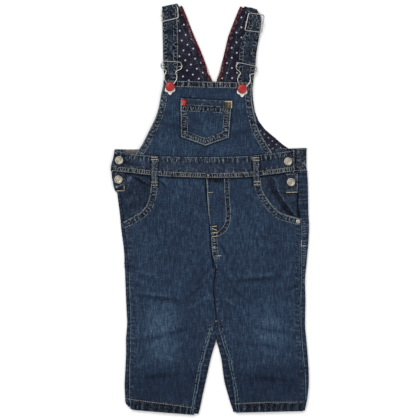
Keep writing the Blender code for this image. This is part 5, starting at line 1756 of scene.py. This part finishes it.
class OVERALLS_OT_buttons(bpy.types.Operator):
    """Make the side buttons, the rivet and the strap buttons"""

    bl_idname = "overalls.buttons"
    bl_label = "Buttons"

    def execute(self, context):
        look = context.scene.overalls_fittings
        metal = plated_metal("button_metal", look.button, 0.42, 0.5)
        for side in SIDES:
            for place in ("upper", "lower"):
                side_button(f"side_button_{side}_{place}", metal)
        rivet("pocket_rivet", plated_metal("rivet_metal", look.button, 0.36, 0.6))
        red, white = enamel("cap_enamel", look.cap), enamel("base_enamel", look.base)
        for side in SIDES:
            cap_base(f"strap_button_base_{side}", white)
            strap_cap(f"strap_button_cap_{side}", red)
        return {"FINISHED"}


def bent(points, closed, steps=6):
    """A smooth line through points."""
    points = [Vector(point) for point in points]
    count, line = len(points), []
    for index in range(count if closed else count - 1):
        around = [index + shift for shift in (-1, 0, 1, 2)]
        a, b, c, d = (points[i % count if closed else min(max(i, 0), count - 1)] for i in around)
        for step in range(steps):
            t = step / steps
            curve = (2 * a - 5 * b + 4 * c - d) * t * t + (3 * b - a - 3 * c + d) * t**3
            line.append((2 * b + (c - a) * t + curve) / 2.0)
    return line if closed else line + [points[-1]]


def tube(node, line, radius, closed, material, sides=12):
    """Round wire along a line, in millimetres, in place of its solid."""
    bm = bmesh.new()
    rings, count = [], len(line)
    for index, place in enumerate(line):
        before = line[index - 1] if closed or index else place
        after = line[(index + 1) % count] if closed or index < count - 1 else place
        tangent = (after - before).normalized()
        across = tangent.cross(UP).normalized()
        upward = across.cross(tangent)
        turns = [2.0 * math.pi * side / sides for side in range(sides)]
        around = [place + (across * math.cos(turn) + upward * math.sin(turn)) * radius for turn in turns]
        rings.append([bm.verts.new(point * MM) for point in around])
    join_rings(bm, rings, sides, closed)
    if not closed:
        bm.faces.new(rings[0][::-1])
        bm.faces.new(rings[-1])
    bmesh.ops.recalc_face_normals(bm, faces=bm.faces)
    finish_fitting(bm, f"{node}_wire", material, "silver_wire", node, sharp=False)


def clip_line(side, points):
    """Points given along and across a clip, put at its button with its lean."""
    x, y, lean = CLIP_PLACES[side]
    cosine, sine = math.cos(math.radians(lean)), math.sin(math.radians(lean))
    return [(x + cosine * a - sine * b, y + sine * a + cosine * b, z) for a, b, z in points]


def slider_lines(side):
    """A slider's frame with rounded corners, and its bar under the strap."""
    corners = [Vector((*corner, SLIDER_LEVEL)) for corner in SLIDER_CORNERS[side]]
    if side == "right":
        corners[0] += Vector((1.4, -2.6, -3.2))
        corners[1] += Vector((-0.6, -3.4, -3.2))
    frame_line = []
    for index, corner in enumerate(corners):
        entry = corner + (corners[index - 1] - corner).normalized() * 2.6
        leave = corner + (corners[(index + 1) % 4] - corner).normalized() * 2.6
        cut_corner = corner.lerp((entry + leave) / 2.0, 0.45)
        frame_line += [entry.lerp(corners[index - 1], 0.4), entry, cut_corner, leave]
    start, end = (corners[0] + corners[3]) / 2.0, (corners[1] + corners[2]) / 2.0
    along = (end - start).normalized() * 1.5
    bar = [(*start.xy, 5.0), (*(start + along).xy, 3.6), (*(end - along).xy, 3.6), (*end.xy, 5.0)]
    return frame_line, bar


def knob(name, place, outward, diameter, material):
    """The rolled end of a cross bar round a frame's wire."""
    bm = bmesh.new()
    bmesh.ops.create_uvsphere(bm, u_segments=20, v_segments=12, radius=diameter / 2.0)
    for vert in bm.verts:
        vert.co.z *= 0.8
    bmesh.ops.transform(bm, matrix=outward.to_track_quat("Z", "Y").to_matrix().to_4x4(), verts=bm.verts)
    bmesh.ops.translate(bm, verts=bm.verts, vec=place)
    finish_fitting(bm, name, material, "silver_wire", sharp=False)


class OVERALLS_OT_wires(bpy.types.Operator):
    """Make the clips and the sliders with the rolled ends of their bars"""

    bl_idname = "overalls.wires"
    bl_label = "Clips and sliders"

    def execute(self, context):
        look = context.scene.overalls_fittings
        metal = plated_metal("wire_metal", look.wire, 0.24)
        half = [(-across, along, height) for along, across, height in CLIP_HALF]
        loop = half + [(-x, y, z) for x, y, z in half[-2:0:-1]]
        for side in SIDES:
            clip = clip_line(side, loop), clip_line(side, CLIP_BAR)
            for kind, (frame_line, bar) in (("clip", clip), ("slider", slider_lines(side))):
                tube(f"{kind}_frame_{side}", bent(frame_line, True), FRAME_RADIUS, True, metal)
                tube(f"{kind}_bar_{side}", bent(bar, False), BAR_RADIUS, False, metal)
                ends = Vector(bar[0]), Vector(bar[-1])
                for index, place in enumerate(ends):
                    outward = (place - ends[1 - index]).normalized()
                    place = Vector((*place.xy, KNOB_LEVEL)) * MM
                    knob(f"{kind}_knob_{side}_{index}", place, outward, look.knob, metal)
        return {"FINISHED"}


# ---------------------------------------------------------------- stage


def soft_light(name, power, place, width):
    data = bpy.data.lights.new(name, "AREA")
    data.energy = power
    data.size = width
    lamp = add_object(name, data)
    lamp.location = place
    lamp.rotation_euler = (-Vector(place)).to_track_quat("-Z", "Y").to_euler()


def floor_plane(look):
    mesh = bpy.data.meshes.new("floor")
    signs = ((-1, -1), (1, -1), (1, 1), (-1, 1))
    mesh.from_pydata([(x * FLOOR_HALF, y * FLOOR_HALF, FLOOR_LEVEL) for x, y in signs], [], [(0, 1, 2, 3)])
    graph = Graph("floor_paint", 0.9, specular=0.1)
    graph.shader.inputs["Base Color"].default_value = (*look.floor, 1.0)
    mesh.materials.append(graph.material)
    add_object("floor", mesh)


def studio_sky(strength):
    """Bright overhead and grey at the horizon, so that round wires show their form."""
    world = bpy.data.worlds.new("studio")
    bpy.context.scene.world = world
    world.use_nodes = True
    tree = world.node_tree
    place = add_node(tree, "ShaderNodeTexCoord").outputs["Generated"]
    height = add_node(tree, "ShaderNodeSeparateXYZ", {0: place}).outputs["Z"]
    ramp = add_node(tree, "ShaderNodeValToRGB", {"Fac": height})
    horizon, top = ramp.color_ramp.elements
    horizon.color, top.color = (0.30, 0.30, 0.31, 1.0), (1.0, 1.0, 1.0, 1.0)
    top.position = 0.8
    background = tree.nodes["Background"]
    tree.links.new(ramp.outputs["Color"], background.inputs["Color"])
    background.inputs["Strength"].default_value = strength


class OVERALLS_OT_stage(bpy.types.Operator):
    """Set the floor, the lights and the camera over the overalls"""

    bl_idname = "overalls.stage"
    bl_label = "Stage"

    def execute(self, context):
        look = context.scene.overalls_stage
        floor_plane(look)
        studio_sky(look.sky)
        soft_light("key", look.key, (-0.9, 1.0, 1.7), 1.6)
        soft_light("fill", look.fill, (1.2, -0.6, 1.6), 1.4)
        data = bpy.data.cameras.new("camera")
        data.lens = data.sensor_width * look.camera_height / look.view_width
        camera = add_object("camera", data)
        camera.location = (0.0, -0.7 * MM, look.camera_height)
        context.scene.camera = camera
        context.scene.view_settings.view_transform = "Standard"
        return {"FINISHED"}


class OVERALLS_PT_panel(bpy.types.Panel):
    """Lists the overalls' settings and the steps that make them"""

    bl_idname = "OVERALLS_PT_panel"
    bl_label = "Overalls"
    bl_space_type = "VIEW_3D"
    bl_region_type = "UI"
    bl_category = "Overalls"

    def draw(self, context):
        for operator in OPERATORS:
            self.layout.operator(operator.bl_idname)
        for name in GROUPS:
            group = getattr(context.scene, name)
            box = self.layout.box()
            for setting in group.bl_rna.properties:
                if setting.identifier not in ("rna_type", "name"):
                    box.prop(group, setting.identifier)


OPERATORS = (
    OVERALLS_OT_legs, OVERALLS_OT_waist, OVERALLS_OT_bib, OVERALLS_OT_straps, OVERALLS_OT_topstitching,
    OVERALLS_OT_bartacks, OVERALLS_OT_buttons, OVERALLS_OT_wires, OVERALLS_OT_stage,
)
GROUPS = {
    "overalls_cloth": OVERALLS_PG_cloth, "overalls_thread": OVERALLS_PG_thread,
    "overalls_fittings": OVERALLS_PG_fittings, "overalls_stage": OVERALLS_PG_stage,
}
CLASSES = (*GROUPS.values(), *OPERATORS, OVERALLS_PT_panel)


def register():
    for item in CLASSES:
        bpy.utils.register_class(item)
    for name, group in GROUPS.items():
        setattr(bpy.types.Scene, name, PointerProperty(type=group))


def unregister():
    for name in GROUPS:
        delattr(bpy.types.Scene, name)
    for item in reversed(CLASSES):
        bpy.utils.unregister_class(item)


def main():
    register()
    for operator in OPERATORS:
        group, name = operator.bl_idname.split(".")
        getattr(getattr(bpy.ops, group), name)()


if __name__ == "__main__":
    main()
